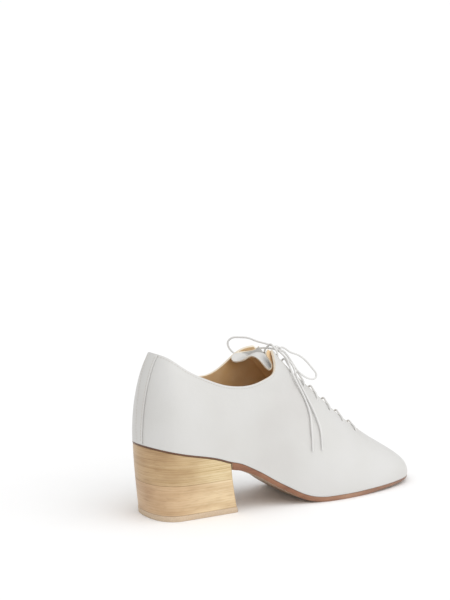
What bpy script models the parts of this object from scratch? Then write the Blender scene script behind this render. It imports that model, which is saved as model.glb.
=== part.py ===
"""A right-foot lace-up shoe: soft leather upper, folded tongue, leather sole, wooden heel.

+X runs to the toe, +Y to the inner (medial) side, +Z up, and the shoe stands on Z = 0.
The sizes are in metres. Tables hold shares of the driving sizes named in their headings.
"""

import math

import bmesh
import bpy
import numpy as np
from mathutils import Matrix, Vector

MM = 0.001

# Driving sizes of the last.
LENGTH = 242 * MM
BALL_WIDTH = 81 * MM
HEEL_HEIGHT = 54.6 * MM
INSTEP_HEIGHT = 120 * MM
BACK_HEIGHT = 65 * MM
TOE_SPRING = 1.6 * MM
INNER_ARCH_RISE = 6.5 * MM
INNER_ARCH_AT = 0.43 * LENGTH
INNER_ARCH_SPREAD = 0.1075 * LENGTH
SPRING_START = 0.74 * LENGTH

# Upper, tongue and insole.
WALL = 1.8 * MM
CLEARANCE = 0.3 * MM
THROAT_END = 0.7975 * LENGTH
THROAT_BACK = 0.372 * LENGTH
THROAT_TOP = 0.459 * LENGTH
THROAT_OPENING = 2.5
THROAT_WIDTH = 6 * MM
THROAT_TOP_WIDTH = 21.6 * MM
TONGUE_WALL = 1.2 * MM
TONGUE_LOOSE = 0.45
TONGUE_SHORT = 5 * MM
LAYER_GAP = 0.5 * MM
INSOLE_THICKNESS = 2.4 * MM
INSOLE_FIT = 0.4 * MM
STRIP_THICKNESS = 0.8 * MM
STRIP_WIDTH = 12 * MM
STRIP_FOOT_WIDTH = 8 * MM

# Sole and heel.
SOLE_EDGE = 3.7 * MM
TOE_EDGE = 1.8 * MM
SEAT_EDGE = 0.9 * MM
BREAST_EDGE = 1.8 * MM
BREAST_SPREAD = 14 * MM
WAIST_CROWN = 1.5 * MM
TREAD_INSET = 1.2 * MM
HEEL_LENGTH = 61 * MM
TIP_BACK = 5.6 * MM
TIP_FRONT = HEEL_LENGTH + 7.5 * MM
TIP_WIDTH = 53.6 * MM
TIP_ROUND = 18 * MM
TIP_SKEW = 0.1
TIP_PROUD = 0.3 * MM
TIP_SQUARE = 2.4
HEEL_FLARE = 1.4
SEAT_INSET = 0.3 * MM
BREAST_ROUND = 1.2 * MM
LIFT_THICKNESS = 4.2 * MM
LIFT_BEVEL = 0.4 * MM
ROUND_END = 0.107 * LENGTH
GLUE_LINE_HEIGHT = 26.2 * MM

# Lace.
LACE_DIAMETER = 1.5 * MM
BAR_COUNT = 7
EYELET_ACROSS = 9.5 * MM
FIRST_BAR = 0.785 * LENGTH
LAST_BAR = 0.4814 * LENGTH
KNOT_AT = 0.4992 * LENGTH
KNOT_HALF = (2.2 * MM, 2.8 * MM, 1.8 * MM)
CORD_STEP = 4.15 * MM

LATERAL, MEDIAL = -1, 1
MERGE = 0.01 * MM
SHARE_STEP = 0.002
GRID = 1.0
THROAT_COLUMNS = 20
COLLAR_COLUMNS = 24
UPPER_ROWS = 9

# The last, from the heel's back to the toe. along and ridge are shares of LENGTH, lateral and
# medial of BALL_WIDTH. ridge is where the section meets the ridge line. rise is the share of
# the section's height over which its side climbs, lean how far it leans out, shoulder the
# share of its width that the top keeps, and roof the slope beside the ridge.
LAST_COLUMNS = ("along", "lateral", "medial", "ridge", "rise", "lean", "shoulder", "roof")
LAST = (
    (0.000, 0.000, 0.000, 0.107, 0.42, 0.06, 0.69, 0.00),
    (0.019, -0.210, 0.210, 0.112, 0.42, 0.05, 0.71, 0.00),
    (0.050, -0.315, 0.315, 0.128, 0.42, 0.04, 0.73, 0.00),
    (0.107, -0.372, 0.370, 0.157, 0.42, 0.03, 0.75, 0.00),
    (0.207, -0.378, 0.362, 0.223, 0.42, 0.03, 0.80, 0.00),
    (0.310, -0.354, 0.315, 0.318, 0.42, 0.04, 0.90, 0.00),
    (0.405, -0.368, 0.302, 0.405, 0.40, 0.06, 0.95, 0.05),
    (0.450, -0.398, 0.330, 0.450, 0.39, 0.07, 0.84, 0.25),
    (0.496, -0.428, 0.364, 0.496, 0.38, 0.08, 0.62, 0.45),
    (0.599, -0.488, 0.454, 0.595, 0.34, 0.10, 0.50, 0.60),
    (0.682, -0.490, 0.498, 0.665, 0.33, 0.10, 0.48, 0.60),
    (0.785, -0.452, 0.479, 0.731, 0.33, 0.11, 0.48, 0.60),
    (0.876, -0.383, 0.420, 0.769, 0.33, 0.12, 0.50, 0.55),
    (0.946, -0.278, 0.333, 0.787, 0.33, 0.14, 0.52, 0.50),
    (0.9855, -0.123, 0.204, 0.7955, 0.33, 0.16, 0.54, 0.40),
    (0.998, 0.037, 0.037, 0.7975, 0.33, 0.16, 0.54, 0.30),
)

# Ridge line over the instep: along is a share of LENGTH, height of INSTEP_HEIGHT. Behind the
# facings it is the top of the last, where the shoe is open.
RIDGE = (
    (0.107, 1.083),
    (0.186, 1.055),
    (0.269, 1.035),
    (0.351, 1.035),
    (0.405, 1.045),
    (0.438, 1.025),
    (0.459, 0.998),
    (0.496, 0.926),
    (0.541, 0.838),
    (0.591, 0.742),
    (0.636, 0.656),
    (0.684, 0.572),
    (0.731, 0.488),
    (0.764, 0.434),
    (0.7975, 0.382),
)

# Edge where upper and sole meet: along is a share of LENGTH, arch of the seat's height over
# the forepart.
ARCH = (
    (0.000, 1.000),
    (0.091, 0.897),
    (0.157, 0.832),
    (0.207, 0.767),
    (0.244, 0.704),
    (0.289, 0.640),
    (0.322, 0.567),
    (0.372, 0.439),
    (0.421, 0.294),
    (0.461, 0.188),
    (0.499, 0.091),
    (0.537, 0.028),
    (0.580, 0.000),
    (0.700, 0.000),
    (1.000, 0.000),
)

# Collar edge: along is a share of LENGTH, the heights are shares of BACK_HEIGHT over the seat.
COLLAR = (
    (0.040, 1.020, 1.020),
    (0.062, 0.988, 0.990),
    (0.097, 0.885, 0.890),
    (0.127, 0.808, 0.815),
    (0.161, 0.745, 0.750),
    (0.198, 0.685, 0.690),
    (0.237, 0.632, 0.640),
    (0.277, 0.600, 0.605),
    (0.322, 0.588, 0.640),
    (0.355, 0.600, 0.720),
    (0.380, 0.625, 0.800),
    (0.409, 0.662, 0.880),
    (0.431, 0.720, 0.912),
    (0.444, 0.820, 0.920),
    (0.452, 0.905, 0.922),
    (0.460, 0.940, 0.922),
    (0.480, 0.950, 0.922),
)


def slopes(knots, rows, closed):
    """Slopes at the knots that keep a cubic curve through the rows smooth in its bend too."""
    count = len(rows)
    steps = np.diff(knots)
    system = np.zeros((count, count))
    right = np.zeros_like(rows)
    for i in range(count):
        if not closed and i in (0, count - 1):
            other = 1 if i == 0 else count - 2
            step = steps[0] if i == 0 else steps[-1]
            system[i, i] = 2
            system[i, other] = 1
            right[i] = 3 * (rows[max(i, other)] - rows[min(i, other)]) / step
            continue
        back, ahead = (i - 1) % count, (i + 1) % count
        before, after = steps[i - 1], steps[i]
        system[i, back] += 1 / before
        system[i, i] += 2 / before + 2 / after
        system[i, ahead] += 1 / after
        right[i] = 3 * (rows[i] - rows[back]) / before**2 + 3 * (rows[ahead] - rows[i]) / after**2
    return np.linalg.solve(system, right)


class Curve:
    """A smooth cubic curve through rows of values at the given knots."""

    def __init__(self, knots, rows, closed=False):
        self.knots = np.array(knots, float)
        self.rows = np.array(rows, float)
        self.closed = closed
        self.slopes = slopes(self.knots, self.rows, closed)

    def __call__(self, at):
        first, last = self.knots[0], self.knots[-1]
        if self.closed:
            at = first + (at - first) % (last - first)
        i = int(np.clip(np.searchsorted(self.knots, at) - 1, 0, len(self.knots) - 2))
        j = (i + 1) % len(self.rows)
        step = self.knots[i + 1] - self.knots[i]
        s = (at - self.knots[i]) / step
        held = (1 + 2 * s) * (1 - s) ** 2 * self.rows[i] + s * s * (3 - 2 * s) * self.rows[j]
        bend = s * (1 - s) ** 2 * self.slopes[i] - s * s * (1 - s) * self.slopes[j]
        return held + step * bend


def table_curve(table):
    """The curve of a table whose first column is a share of LENGTH."""
    rows = np.array(table, float)
    return Curve(rows[:, 0], rows[:, 1:])


def around_the_last():
    """The last's rows in one closed curve: toe, lateral side, heel, medial side, toe."""
    rows = np.array(LAST, float)
    toe_first = rows[::-1]
    lateral = np.delete(toe_first, LAST_COLUMNS.index("medial"), axis=1)
    medial = np.delete(rows, LAST_COLUMNS.index("lateral"), axis=1)
    sides = np.concatenate([lateral, medial[1:-1]])
    x = toe_first[:, 0] * LENGTH
    y = (toe_first[:, 2] - toe_first[:, 1]) * BALL_WIDTH / 2
    steps = np.hypot(np.diff(x), np.diff(y))
    knots = np.concatenate([[0], np.cumsum(np.concatenate([steps, steps[::-1]]))])
    return Curve(knots / knots[-1], sides, closed=True)


AROUND = around_the_last()
RIDGE_CURVE = table_curve(RIDGE)
ARCH_CURVE = table_curve(ARCH)
COLLAR_CURVE = table_curve(COLLAR)


def ridge_height(x):
    return INSTEP_HEIGHT * float(RIDGE_CURVE(x / LENGTH)[0])


def feather_height(x, inner=0.0):
    """Height of the edge where upper and sole meet. inner is 0 on the outer side, 1 on the inner."""
    forepart = SOLE_EDGE + CLEARANCE
    spring = max(0, x - SPRING_START) / (LENGTH - SPRING_START)
    arch = max(0, float(ARCH_CURVE(x / LENGTH)[0]))
    inner_rise = INNER_ARCH_RISE * math.exp(-(((x - INNER_ARCH_AT) / INNER_ARCH_SPREAD) ** 2))
    seat = forepart + (HEEL_HEIGHT - forepart) * arch
    return seat + TOE_SPRING * spring**2 + inner_rise * inner


def collar_height(x, side):
    share = COLLAR_CURVE(np.clip(x / LENGTH, COLLAR[0][0], COLLAR[-1][0]))
    return HEEL_HEIGHT + BACK_HEIGHT * float(share[0 if side == LATERAL else 1])


def throat_half_width(x):
    """Half the gap between the facings, which widens towards the ankle."""
    opened = np.clip((THROAT_END - x) / (THROAT_END - THROAT_TOP), 0, 1)
    return (THROAT_WIDTH + (THROAT_TOP_WIDTH - THROAT_WIDTH) * opened**THROAT_OPENING) / 2


def outline(q):
    """The feather edge in plan at a share q of the way round."""
    row = AROUND(q)
    return np.array((row[0] * LENGTH, row[1] * BALL_WIDTH))


EDGE = np.array([outline(q) for q in np.linspace(0.5, 0, 241)])
INNER_EDGE = np.array([outline(q) for q in np.linspace(0.5, 1, 241)])


def across_share(x, y):
    """How far a point of the plan lies from the outer edge, at 0, towards the inner edge, at 1."""
    outer = np.interp(x, EDGE[:, 0], EDGE[:, 1])
    inner = np.interp(x, INNER_EDGE[:, 0], INNER_EDGE[:, 1])
    return float(np.clip((y - outer) / max(MM, inner - outer), 0, 1))


def last_point(q, t):
    """A point of the last: q goes round it, and t climbs from the feather edge to the ridge."""
    along, across, ridge, rise, lean, shoulder, roof = AROUND(q)
    x = along * LENGTH
    foot = np.array((x, across * BALL_WIDTH, feather_height(x, (1 + side_of(q)) / 2)))
    top_x = ridge * LENGTH
    top = np.array((top_x, 0, ridge_height(top_x)))
    out = foot[:2] - top[:2]
    reach = math.hypot(*out)
    hx, hy = out / reach
    slope = (ridge_height(top_x + MM) - ridge_height(top_x - MM)) / (2 * MM)
    side = foot + rise * (top[2] - foot[2]) * np.array((lean * hx, lean * hy, 1))
    drop = slope * hx - roof * abs(hy)
    crest = top + shoulder * reach * np.array((hx, hy, drop))
    s = 1 - t
    return s**3 * foot + 3 * s * s * t * side + 3 * s * t * t * crest + t**3 * top


def last_normal(q, t):
    low = min(t, 1 - SHARE_STEP)
    round_way = last_point(q + SHARE_STEP, low) - last_point(q - SHARE_STEP, low)
    up_way = last_point(q, low + SHARE_STEP) - last_point(q, max(0, low - SHARE_STEP))
    normal = np.cross(up_way, round_way)
    return normal / np.linalg.norm(normal)


def first_crossing(inside, low=0.0, high=1.0):
    """The first t from low at which inside(t) turns true."""
    scan = np.linspace(low, high, 81)
    for before, after in zip(scan, scan[1:]):
        if inside(after):
            for _ in range(20):
                middle = (before + after) / 2
                before, after = (before, middle) if inside(middle) else (middle, after)
            return after
    return high


def side_of(q):
    return LATERAL if q % 1 < 0.5 else MEDIAL


def in_throat(point):
    x, y = point[0], point[1]
    if x < THROAT_BACK:
        return False
    if x < THROAT_END:
        return abs(y) < throat_half_width(x)
    return math.hypot(x - THROAT_END, y) < THROAT_WIDTH / 2


def collar_edge(q):
    side = side_of(q)

    def over(t):
        point = last_point(q, t)
        return point[2] > collar_height(point[0], side)

    return first_crossing(over, 0.2)


def throat_edge(q):
    return first_crossing(lambda t: in_throat(last_point(q, t)), 0.2)


def facing_corner(low, high):
    """The share round at which the collar edge meets the facing."""
    for _ in range(24):
        middle = (low + high) / 2
        if throat_edge(middle) < collar_edge(middle):
            low = middle
        else:
            high = middle
    return (low + high) / 2


LATERAL_CORNER = facing_corner(0.15, 0.42)
MEDIAL_CORNER = facing_corner(0.85, 0.58)


def top_edge(q):
    return min(collar_edge(q), throat_edge(q))


def upper_shares():
    """Shares round the upper, with one at each facing corner."""
    front = np.linspace(0, LATERAL_CORNER, THROAT_COLUMNS + 1)
    lateral = np.linspace(LATERAL_CORNER, 0.5, COLLAR_COLUMNS + 1)
    medial = np.linspace(0.5, MEDIAL_CORNER, COLLAR_COLUMNS + 1)
    back = np.linspace(MEDIAL_CORNER, 1, THROAT_COLUMNS + 1)
    return np.concatenate([front, lateral[1:], medial[1:], back[1:]])


def share_at(x):
    """The share round on the lateral side at which the outline reaches x."""
    low, high = 0.0, 0.5
    for _ in range(40):
        middle = (low + high) / 2
        if outline(middle)[0] > x:
            low = middle
        else:
            high = middle
    return (low + high) / 2


def share_at_ridge(x):
    """The share round on the lateral side whose section meets the ridge at x."""
    low, high = 0.0, 0.5
    for _ in range(40):
        middle = (low + high) / 2
        if AROUND(middle)[2] * LENGTH > x:
            low = middle
        else:
            high = middle
    return (low + high) / 2


def material(name, colour, roughness):
    made = bpy.data.materials.new(name)
    made.use_nodes = True
    shader = made.node_tree.nodes["Principled BSDF"]
    shader.inputs["Base Color"].default_value = (*colour, 1)
    shader.inputs["Roughness"].default_value = roughness
    made.diffuse_color = (*colour, 1)
    return made


def add_object(name, mesh, look):
    """An object made from a bmesh, with its faces pointing out."""
    bmesh.ops.recalc_face_normals(mesh, faces=mesh.faces)
    data = bpy.data.meshes.new(name)
    mesh.to_mesh(data)
    mesh.free()
    data.shade_smooth()
    data.set_sharp_from_angle(angle=math.radians(40))
    data.materials.append(look)
    made = bpy.data.objects.new(name, data)
    bpy.context.collection.objects.link(made)
    return made


def sheet(columns, rows, place):
    """A grid whose points are put where place says for a column and a row number."""
    mesh = bmesh.new()
    bmesh.ops.create_grid(mesh, x_segments=columns, y_segments=rows, size=GRID / 2)
    for vertex in mesh.verts:
        column = round((vertex.co.x / GRID + 0.5) * columns)
        row = round((vertex.co.y / GRID + 0.5) * rows)
        vertex.co = place(column, row)
    bmesh.ops.remove_doubles(mesh, verts=mesh.verts, dist=MERGE)
    return mesh


def add_cap(mesh, ring):
    """Closes a ring with faces between its left and right halves."""
    count = len(ring)
    corners = [mesh.verts.new(point) for point in ring]
    for k in range((count - 1) // 2):
        face = corners[k], corners[k + 1], corners[count - 2 - k], corners[count - 1 - k]
        mesh.faces.new(list(dict.fromkeys(face)))


def loft(rings):
    """A closed solid through rings of points, all of one length, with a cap at each end."""
    around = len(rings[0])
    mesh = sheet(around, len(rings) - 1, lambda column, row: rings[row][column % around])
    add_cap(mesh, rings[0])
    add_cap(mesh, rings[-1])
    bmesh.ops.remove_doubles(mesh, verts=mesh.verts, dist=MERGE)
    bmesh.ops.recalc_face_normals(mesh, faces=mesh.faces)
    return mesh


def thicken(made, thickness, offset, even=True):
    wall = made.modifiers.new("wall", "SOLIDIFY")
    wall.thickness = thickness
    wall.offset = offset
    wall.use_even_offset = even
    wall.use_rim = True
    return made


def face_outwards(mesh, centre):
    """Turns a sheet's faces away from the centre, so that its wall is added inwards."""
    bmesh.ops.recalc_face_normals(mesh, faces=mesh.faces)
    facing = sum(face.normal.dot(face.calc_center_median() - centre) for face in mesh.faces)
    if facing < 0:
        bmesh.ops.reverse_faces(mesh, faces=mesh.faces)


def make_upper(look):
    """Upper: one hollow shell, open under the foot, at the collar and down the throat."""
    shares = upper_shares()
    tops = [top_edge(q) for q in shares]

    def place(column, row):
        return last_point(shares[column], tops[column] * row / UPPER_ROWS)

    mesh = sheet(len(shares) - 1, UPPER_ROWS, place)
    face_outwards(mesh, Vector((LENGTH / 2, 0, HEEL_HEIGHT)))
    return thicken(add_object("upper", mesh, look), WALL, -1)


def on_last(q, t, height):
    """A point at a height over the last's surface."""
    return last_point(q, t) + last_normal(q, t) * height


def make_back_strip(look):
    """Back strip: a narrow cover over the heel seam, cut from the upper's own surface."""
    columns, rows = 6, 12
    seam, near = 0.5, 0.01

    def place(column, row):
        height = row / rows
        top = top_edge(seam)
        width = STRIP_FOOT_WIDTH + (STRIP_WIDTH - STRIP_FOOT_WIDTH) * height
        sides = [last_point(seam + side * near, top * height) for side in (-1, 1)]
        q = seam + (column / columns - 0.5) * width * 2 * near / np.linalg.norm(sides[1] - sides[0])
        return on_last(q, top_edge(q) * (0.01 + 0.98 * height), CLEARANCE)

    mesh = sheet(columns, rows, place)
    face_outwards(mesh, Vector((LENGTH / 2, 0, HEEL_HEIGHT)))
    return thicken(add_object("back_strip", mesh, look), STRIP_THICKNESS, 1)


def inset_outline(q, inset):
    along = outline(q + SHARE_STEP) - outline(q - SHARE_STEP)
    inwards = np.array((along[1], -along[0])) / np.linalg.norm(along)
    middle = np.array((np.clip(outline(q)[0], 0.1 * LENGTH, 0.9 * LENGTH), 0))
    if np.dot(inwards, middle - outline(q)) < 0:
        inwards = -inwards
    return outline(q) + inwards * inset


def plate(shares, across, top, bottom):
    """A plate inside the outline; top and bottom give an inset and a height for each point."""
    rings = []
    for q in shares:
        ring = []
        for face, order in ((top, range(across + 1)), (bottom, range(across, -1, -1))):
            inset = face(*outline(q))[0]
            ends = inset_outline(q, inset), inset_outline(1 - q, inset)
            for k in order:
                w = 2 * k / across - 1
                x, y = (ends[0] * (1 - w) + ends[1] * (1 + w)) / 2
                ring.append((x, y, face(x, y)[1]))
        rings.append(ring)
    return loft(rings)


def make_insole(look):
    """Insole: the leather-covered board that the foot stands on, inside the upper."""
    inset = WALL + CLEARANCE + INSOLE_FIT

    def top(x, y):
        return inset, feather_height(x, across_share(x, y)) + INSOLE_THICKNESS

    def bottom(x, y):
        return inset, feather_height(x, across_share(x, y))

    return add_object("insole", plate(np.linspace(0, 0.5, 37), 6, top, bottom), look)


def sole_edge(x):
    """Thickness of the sole's edge: thin under the heel seat, and pared towards the toe."""
    if x < HEEL_LENGTH + CLEARANCE:
        return SEAT_EDGE
    pared = np.clip((x - SPRING_START) / (LENGTH - SPRING_START), 0, 1)
    breast = math.exp(-(((x - HEEL_LENGTH) / BREAST_SPREAD) ** 2))
    return SOLE_EDGE + (TOE_EDGE - SOLE_EDGE) * pared + BREAST_EDGE * breast


def sole_underside(x, y):
    """Height under the sole. The waist is crowned."""
    inner = across_share(x, y)
    edge = feather_height(x, inner) - CLEARANCE - sole_edge(x)
    if x < HEEL_LENGTH + CLEARANCE:
        return edge
    crown = WAIST_CROWN * (1 - math.exp(-max(0, edge) / WAIST_CROWN))
    if x > SPRING_START:
        crown = 0
    return max(0, edge - crown * 4 * inner * (1 - inner))


def make_outsole(look):
    """Outsole: one piece of leather, pared thin over the heel and crowned under the waist."""
    seat_end = HEEL_LENGTH + CLEARANCE * 0.9
    step_end = HEEL_LENGTH + 2 * MM
    shares = np.concatenate([
        np.linspace(0, share_at(step_end), 27),
        np.linspace(share_at(seat_end), 0.5, 9),
    ])

    def top(x, y):
        return 0, feather_height(x, across_share(x, y)) - CLEARANCE

    def bottom(x, y):
        inset = TREAD_INSET if x > HEEL_LENGTH + CLEARANCE else SEAT_INSET
        return inset, sole_underside(x, y)

    return add_object("outsole", plate(shares, 8, top, bottom), look)


def heel_columns():
    """Shares round the heel from its lateral front corner to its medial one."""
    side = share_at(HEEL_LENGTH)
    return np.linspace(side, 1 - side, 25)


def tip_point(q, grown):
    """The heel's outline at the floor: a squarer U than the seat above it."""
    x, y = outline(q)
    half = abs(outline(share_at(ROUND_END))[1])
    side = LATERAL if y < 0 else MEDIAL
    if x < ROUND_END:
        turn = math.asin(min(1, abs(y) / half))
        back = TIP_ROUND * (1 - math.cos(turn) ** (2 / TIP_SQUARE))
        out = math.sin(turn) ** (2 / TIP_SQUARE)
    else:
        straight = TIP_FRONT - TIP_BACK - TIP_ROUND
        back = TIP_ROUND + straight * (x - ROUND_END) / (HEEL_LENGTH - ROUND_END)
        out = 1
    forward = back / (TIP_FRONT - TIP_BACK)
    across = side * out * (TIP_WIDTH / 2 + grown)
    skew = TIP_SKEW * across * (1 - forward)
    return np.array((TIP_BACK + back + skew + (2 * forward - 1) * grown, across))


def seat_underside(x, y):
    return feather_height(x, across_share(x, y)) - SEAT_EDGE - 2 * CLEARANCE


def heel_ring(low, share, grown=0.0, top=None):
    """A ring round the heel at a share of the way from a low plane to the seat or a top plane."""
    ring = []
    for q in heel_columns():
        seat = inset_outline(q, SEAT_INSET)
        tip = tip_point(q, grown)
        ceiling = seat_underside(*seat)
        z = low + ((ceiling if top is None else top) - low) * share
        spread = (1 - min(1, z / ceiling)) ** HEEL_FLARE
        x, y = seat + (tip - seat) * spread
        ring.append((x, y, z))
    ring[0] = np.array(ring[0]) + (-BREAST_ROUND, 0, 0)
    ring[-1] = np.array(ring[-1]) + (-BREAST_ROUND, 0, 0)
    lateral = ring[0] + np.array((BREAST_ROUND, BREAST_ROUND, 0))
    medial = ring[-1] + np.array((BREAST_ROUND, -BREAST_ROUND, 0))
    return [lateral, *ring, medial]


def make_heel_blocks(upper_look, lower_look):
    """Heel: two blocks of wood glued one on the other, the upper one cut to the seat."""
    foot = LIFT_THICKNESS + CLEARANCE
    lower = [heel_ring(foot, share, top=GLUE_LINE_HEIGHT) for share in np.linspace(0, 1, 5)]
    upper = [heel_ring(GLUE_LINE_HEIGHT + CLEARANCE, share) for share in np.linspace(0, 1, 5)]
    return [
        add_object("heel_lower_block", loft(lower), lower_look),
        add_object("heel_upper_block", loft(upper), upper_look),
    ]


def make_top_lift(look):
    """Top lift: the tread layer under the heel, a little proud of the wood."""
    rings = [
        heel_ring(0, 0, TIP_PROUD - LIFT_BEVEL),
        heel_ring(LIFT_BEVEL, 0, TIP_PROUD),
        heel_ring(LIFT_THICKNESS, 0, TIP_PROUD),
    ]
    return add_object("top_lift", loft(rings), look)


# Folds of the tongue, from the medial facing to the lateral one. along, across and height place
# the top edge, as shares of LENGTH, BALL_WIDTH and INSTEP_HEIGHT. low_across is where the fold
# ends at the throat's end, and layer 2 lies against the facing, with layer 3 under it.
FOLDS = (
    (0.4590, 0.098, 0.920, 0.038, 2.2),
    (0.4456, 0.126, 0.900, 0.056, 2.2),
    (0.4264, 0.152, 0.899, 0.076, 2.1),
    (0.4001, 0.170, 0.904, 0.094, 2.0),
    (0.3808, 0.175, 0.902, 0.115, 2.0),
    (0.3688, 0.154, 0.883, 0.124, 2.5),
    (0.3726, 0.121, 0.866, 0.115, 3.0),
    (0.3848, 0.080, 0.871, 0.085, 3.0),
    (0.3939, 0.040, 0.886, 0.045, 3.0),
    (0.4059, 0.000, 0.906, 0.000, 3.0),
    (0.4153, -0.074, 0.893, -0.045, 3.0),
    (0.4235, -0.136, 0.856, -0.085, 3.0),
    (0.4317, -0.164, 0.835, -0.115, 3.0),
    (0.4397, -0.178, 0.844, -0.124, 2.5),
    (0.4414, -0.170, 0.868, -0.115, 2.0),
    (0.4349, -0.151, 0.901, -0.095, 2.0),
    (0.4294, -0.136, 0.932, -0.070, 2.0),
    (0.4412, -0.116, 0.953, -0.045, 2.0),
)


def layer_depth(layer):
    """Depth of a tongue layer's middle under the last's surface."""
    second = WALL + 4 * CLEARANCE + TONGUE_WALL / 2
    return second + (layer - 2) * (TONGUE_WALL + LAYER_GAP)


def across_last(x, across, height):
    """A point at a height over the last whose section meets the ridge at x, across from its middle."""
    q = share_at_ridge(x)
    around = q if across <= 0 else 1 - q
    low, high = 0.22, 1.0
    for _ in range(30):
        middle = (low + high) / 2
        if on_last(around, middle, height)[1] * side_of(around) > abs(across):
            low = middle
        else:
            high = middle
    return on_last(around, (low + high) / 2, height)


def make_tongue(look):
    """Tongue: a folded sheet under the facings, open like a bellows at the collar."""
    rows = 14
    end = THROAT_END - TONGUE_SHORT

    def place(column, row):
        along, across, height, low_across, layer = FOLDS[column]
        top = np.array((along * LENGTH, across * BALL_WIDTH, height * INSTEP_HEIGHT))
        down = (row / rows) ** 1.3
        flat_across = low_across + (across - low_across) * (1 - down) ** 2
        depth = layer_depth(layer)
        flat = across_last(top[0] + (end - top[0]) * down, flat_across * BALL_WIDTH, -depth)
        loose = max(0, 1 - down / TONGUE_LOOSE) ** 2
        start = across_last(top[0], across * BALL_WIDTH, -depth)
        return flat + (top - start) * loose

    mesh = sheet(len(FOLDS) - 1, rows, place)
    return thicken(add_object("tongue", mesh, look), TONGUE_WALL, 0, even=False)


def tube(name, points, diameter, look):
    """A round cord along a line of points, with closed ends."""
    data = bpy.data.curves.new(name, "CURVE")
    data.dimensions = "3D"
    data.bevel_depth = diameter / 2
    data.bevel_resolution = 2
    data.use_fill_caps = True
    spline = data.splines.new("POLY")
    spline.points.add(len(points) - 1)
    for point, place in zip(spline.points, points):
        point.co = (*place, 1)
    data.materials.append(look)
    made = bpy.data.objects.new(name, data)
    bpy.context.collection.objects.link(made)
    return made


def make_lace_bars(look):
    """Lace bars: the lace where it crosses the throat from eyelet to eyelet."""
    bars = []
    lift = LACE_DIAMETER / 2 + CLEARANCE
    for number, x in enumerate(np.linspace(FIRST_BAR, LAST_BAR, BAR_COUNT)):
        places = np.linspace(-EYELET_ACROSS, EYELET_ACROSS, 9)
        route = [across_last(x, across, lift) for across in places]
        bars.append(tube(f"lace_bar_{number + 1}", route, LACE_DIAMETER, look))
    return bars


def knot_frame():
    """The knot's middle, and its directions down the ridge and out of it."""
    slope = (ridge_height(KNOT_AT + MM) - ridge_height(KNOT_AT - MM)) / (2 * MM)
    down = np.array((1, 0, slope)) / math.hypot(1, slope)
    out = np.array((-down[2], 0, down[0]))
    foot = np.array((KNOT_AT, 0, ridge_height(KNOT_AT)))
    return foot + out * (KNOT_HALF[2] + 2 * CLEARANCE), down, out


def make_knot(look):
    """Knot of the bow: a rounded lump between the last two bars."""
    middle, down, out = knot_frame()
    mesh = bmesh.new()
    bmesh.ops.create_uvsphere(mesh, u_segments=14, v_segments=8, radius=1)
    for vertex in mesh.verts:
        x, y, z = vertex.co
        waist = 1 - 0.16 * (1 - y * y)
        vertex.co = middle + down * x * KNOT_HALF[0] * waist + out * z * KNOT_HALF[2] * waist
        vertex.co.y += y * KNOT_HALF[1]
    return add_object("lace_knot", mesh, look)


# Routes of the bow's loops: along, across and height are shares of LENGTH, BALL_WIDTH and
# INSTEP_HEIGHT.
MEDIAL_LOOP = (
    (0.5025, 0.050, 0.9450),
    (0.4850, 0.095, 0.9600),
    (0.4670, 0.173, 0.9725),
    (0.4541, 0.247, 0.9867),
    (0.4364, 0.333, 0.9867),
    (0.4244, 0.383, 0.9800),
    (0.4145, 0.407, 0.9542),
    (0.4186, 0.395, 0.9108),
    (0.4318, 0.346, 0.8792),
    (0.4545, 0.265, 0.8830),
    (0.4793, 0.165, 0.9250),
    (0.5008, 0.068, 0.9280),
)
LATERAL_LOOP = (
    (0.5157, -0.032, 0.9425),
    (0.5330, -0.062, 0.9190),
    (0.5595, -0.099, 0.8933),
    (0.5843, -0.130, 0.8517),
    (0.6079, -0.154, 0.7917),
    (0.6140, -0.167, 0.7667),
    (0.6095, -0.173, 0.7442),
    (0.5917, -0.173, 0.7408),
    (0.5727, -0.167, 0.7567),
    (0.5537, -0.148, 0.7883),
    (0.5384, -0.080, 0.8580),
    (0.5265, -0.045, 0.9030),
    (0.5175, -0.038, 0.9200),
)

# Routes of the lace's ends over the outer side: ridge is where the section meets the ridge, as
# a share of LENGTH, across a share of BALL_WIDTH, and lift a height over the upper in mm.
REAR_END = (
    (0.5060, -0.092, 3.20),
    (0.5120, -0.130, 2.70),
    (0.5230, -0.180, 1.60),
    (0.5423, -0.235, 1.15),
    (0.5498, -0.280, 1.15),
    (0.5513, -0.326, 1.15),
    (0.5470, -0.361, 1.15),
    (0.5416, -0.398, 1.15),
    (0.5351, -0.435, 1.15),
)
FRONT_END = (
    (0.5285, -0.112, 3.40),
    (0.5347, -0.152, 2.30),
    (0.5520, -0.210, 1.25),
    (0.5616, -0.249, 1.15),
    (0.5701, -0.288, 1.15),
    (0.5771, -0.337, 1.15),
    (0.5790, -0.364, 1.15),
    (0.5754, -0.399, 1.15),
    (0.5699, -0.436, 1.15),
)
REAR_END_START = (0.5066, -0.054, 0.9117)
FRONT_END_START = (0.5182, -0.074, 0.8850)


def spaced(route, step):
    """Points at even steps along a smooth curve through a route."""
    route = np.array(route)
    knots = np.concatenate([[0], np.cumsum(np.linalg.norm(np.diff(route, axis=0), axis=1))])
    curve = Curve(knots, route)
    fine = np.array([curve(at) for at in np.linspace(0, knots[-1], 400)])
    run = np.concatenate([[0], np.cumsum(np.linalg.norm(np.diff(fine, axis=0), axis=1))])
    places = np.linspace(0, run[-1], max(2, round(run[-1] / step)) + 1)
    return [[np.interp(at, run, fine[:, i]) for i in range(3)] for at in places]


def free_point(shares):
    return np.array(shares) * (LENGTH, BALL_WIDTH, INSTEP_HEIGHT)


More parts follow.
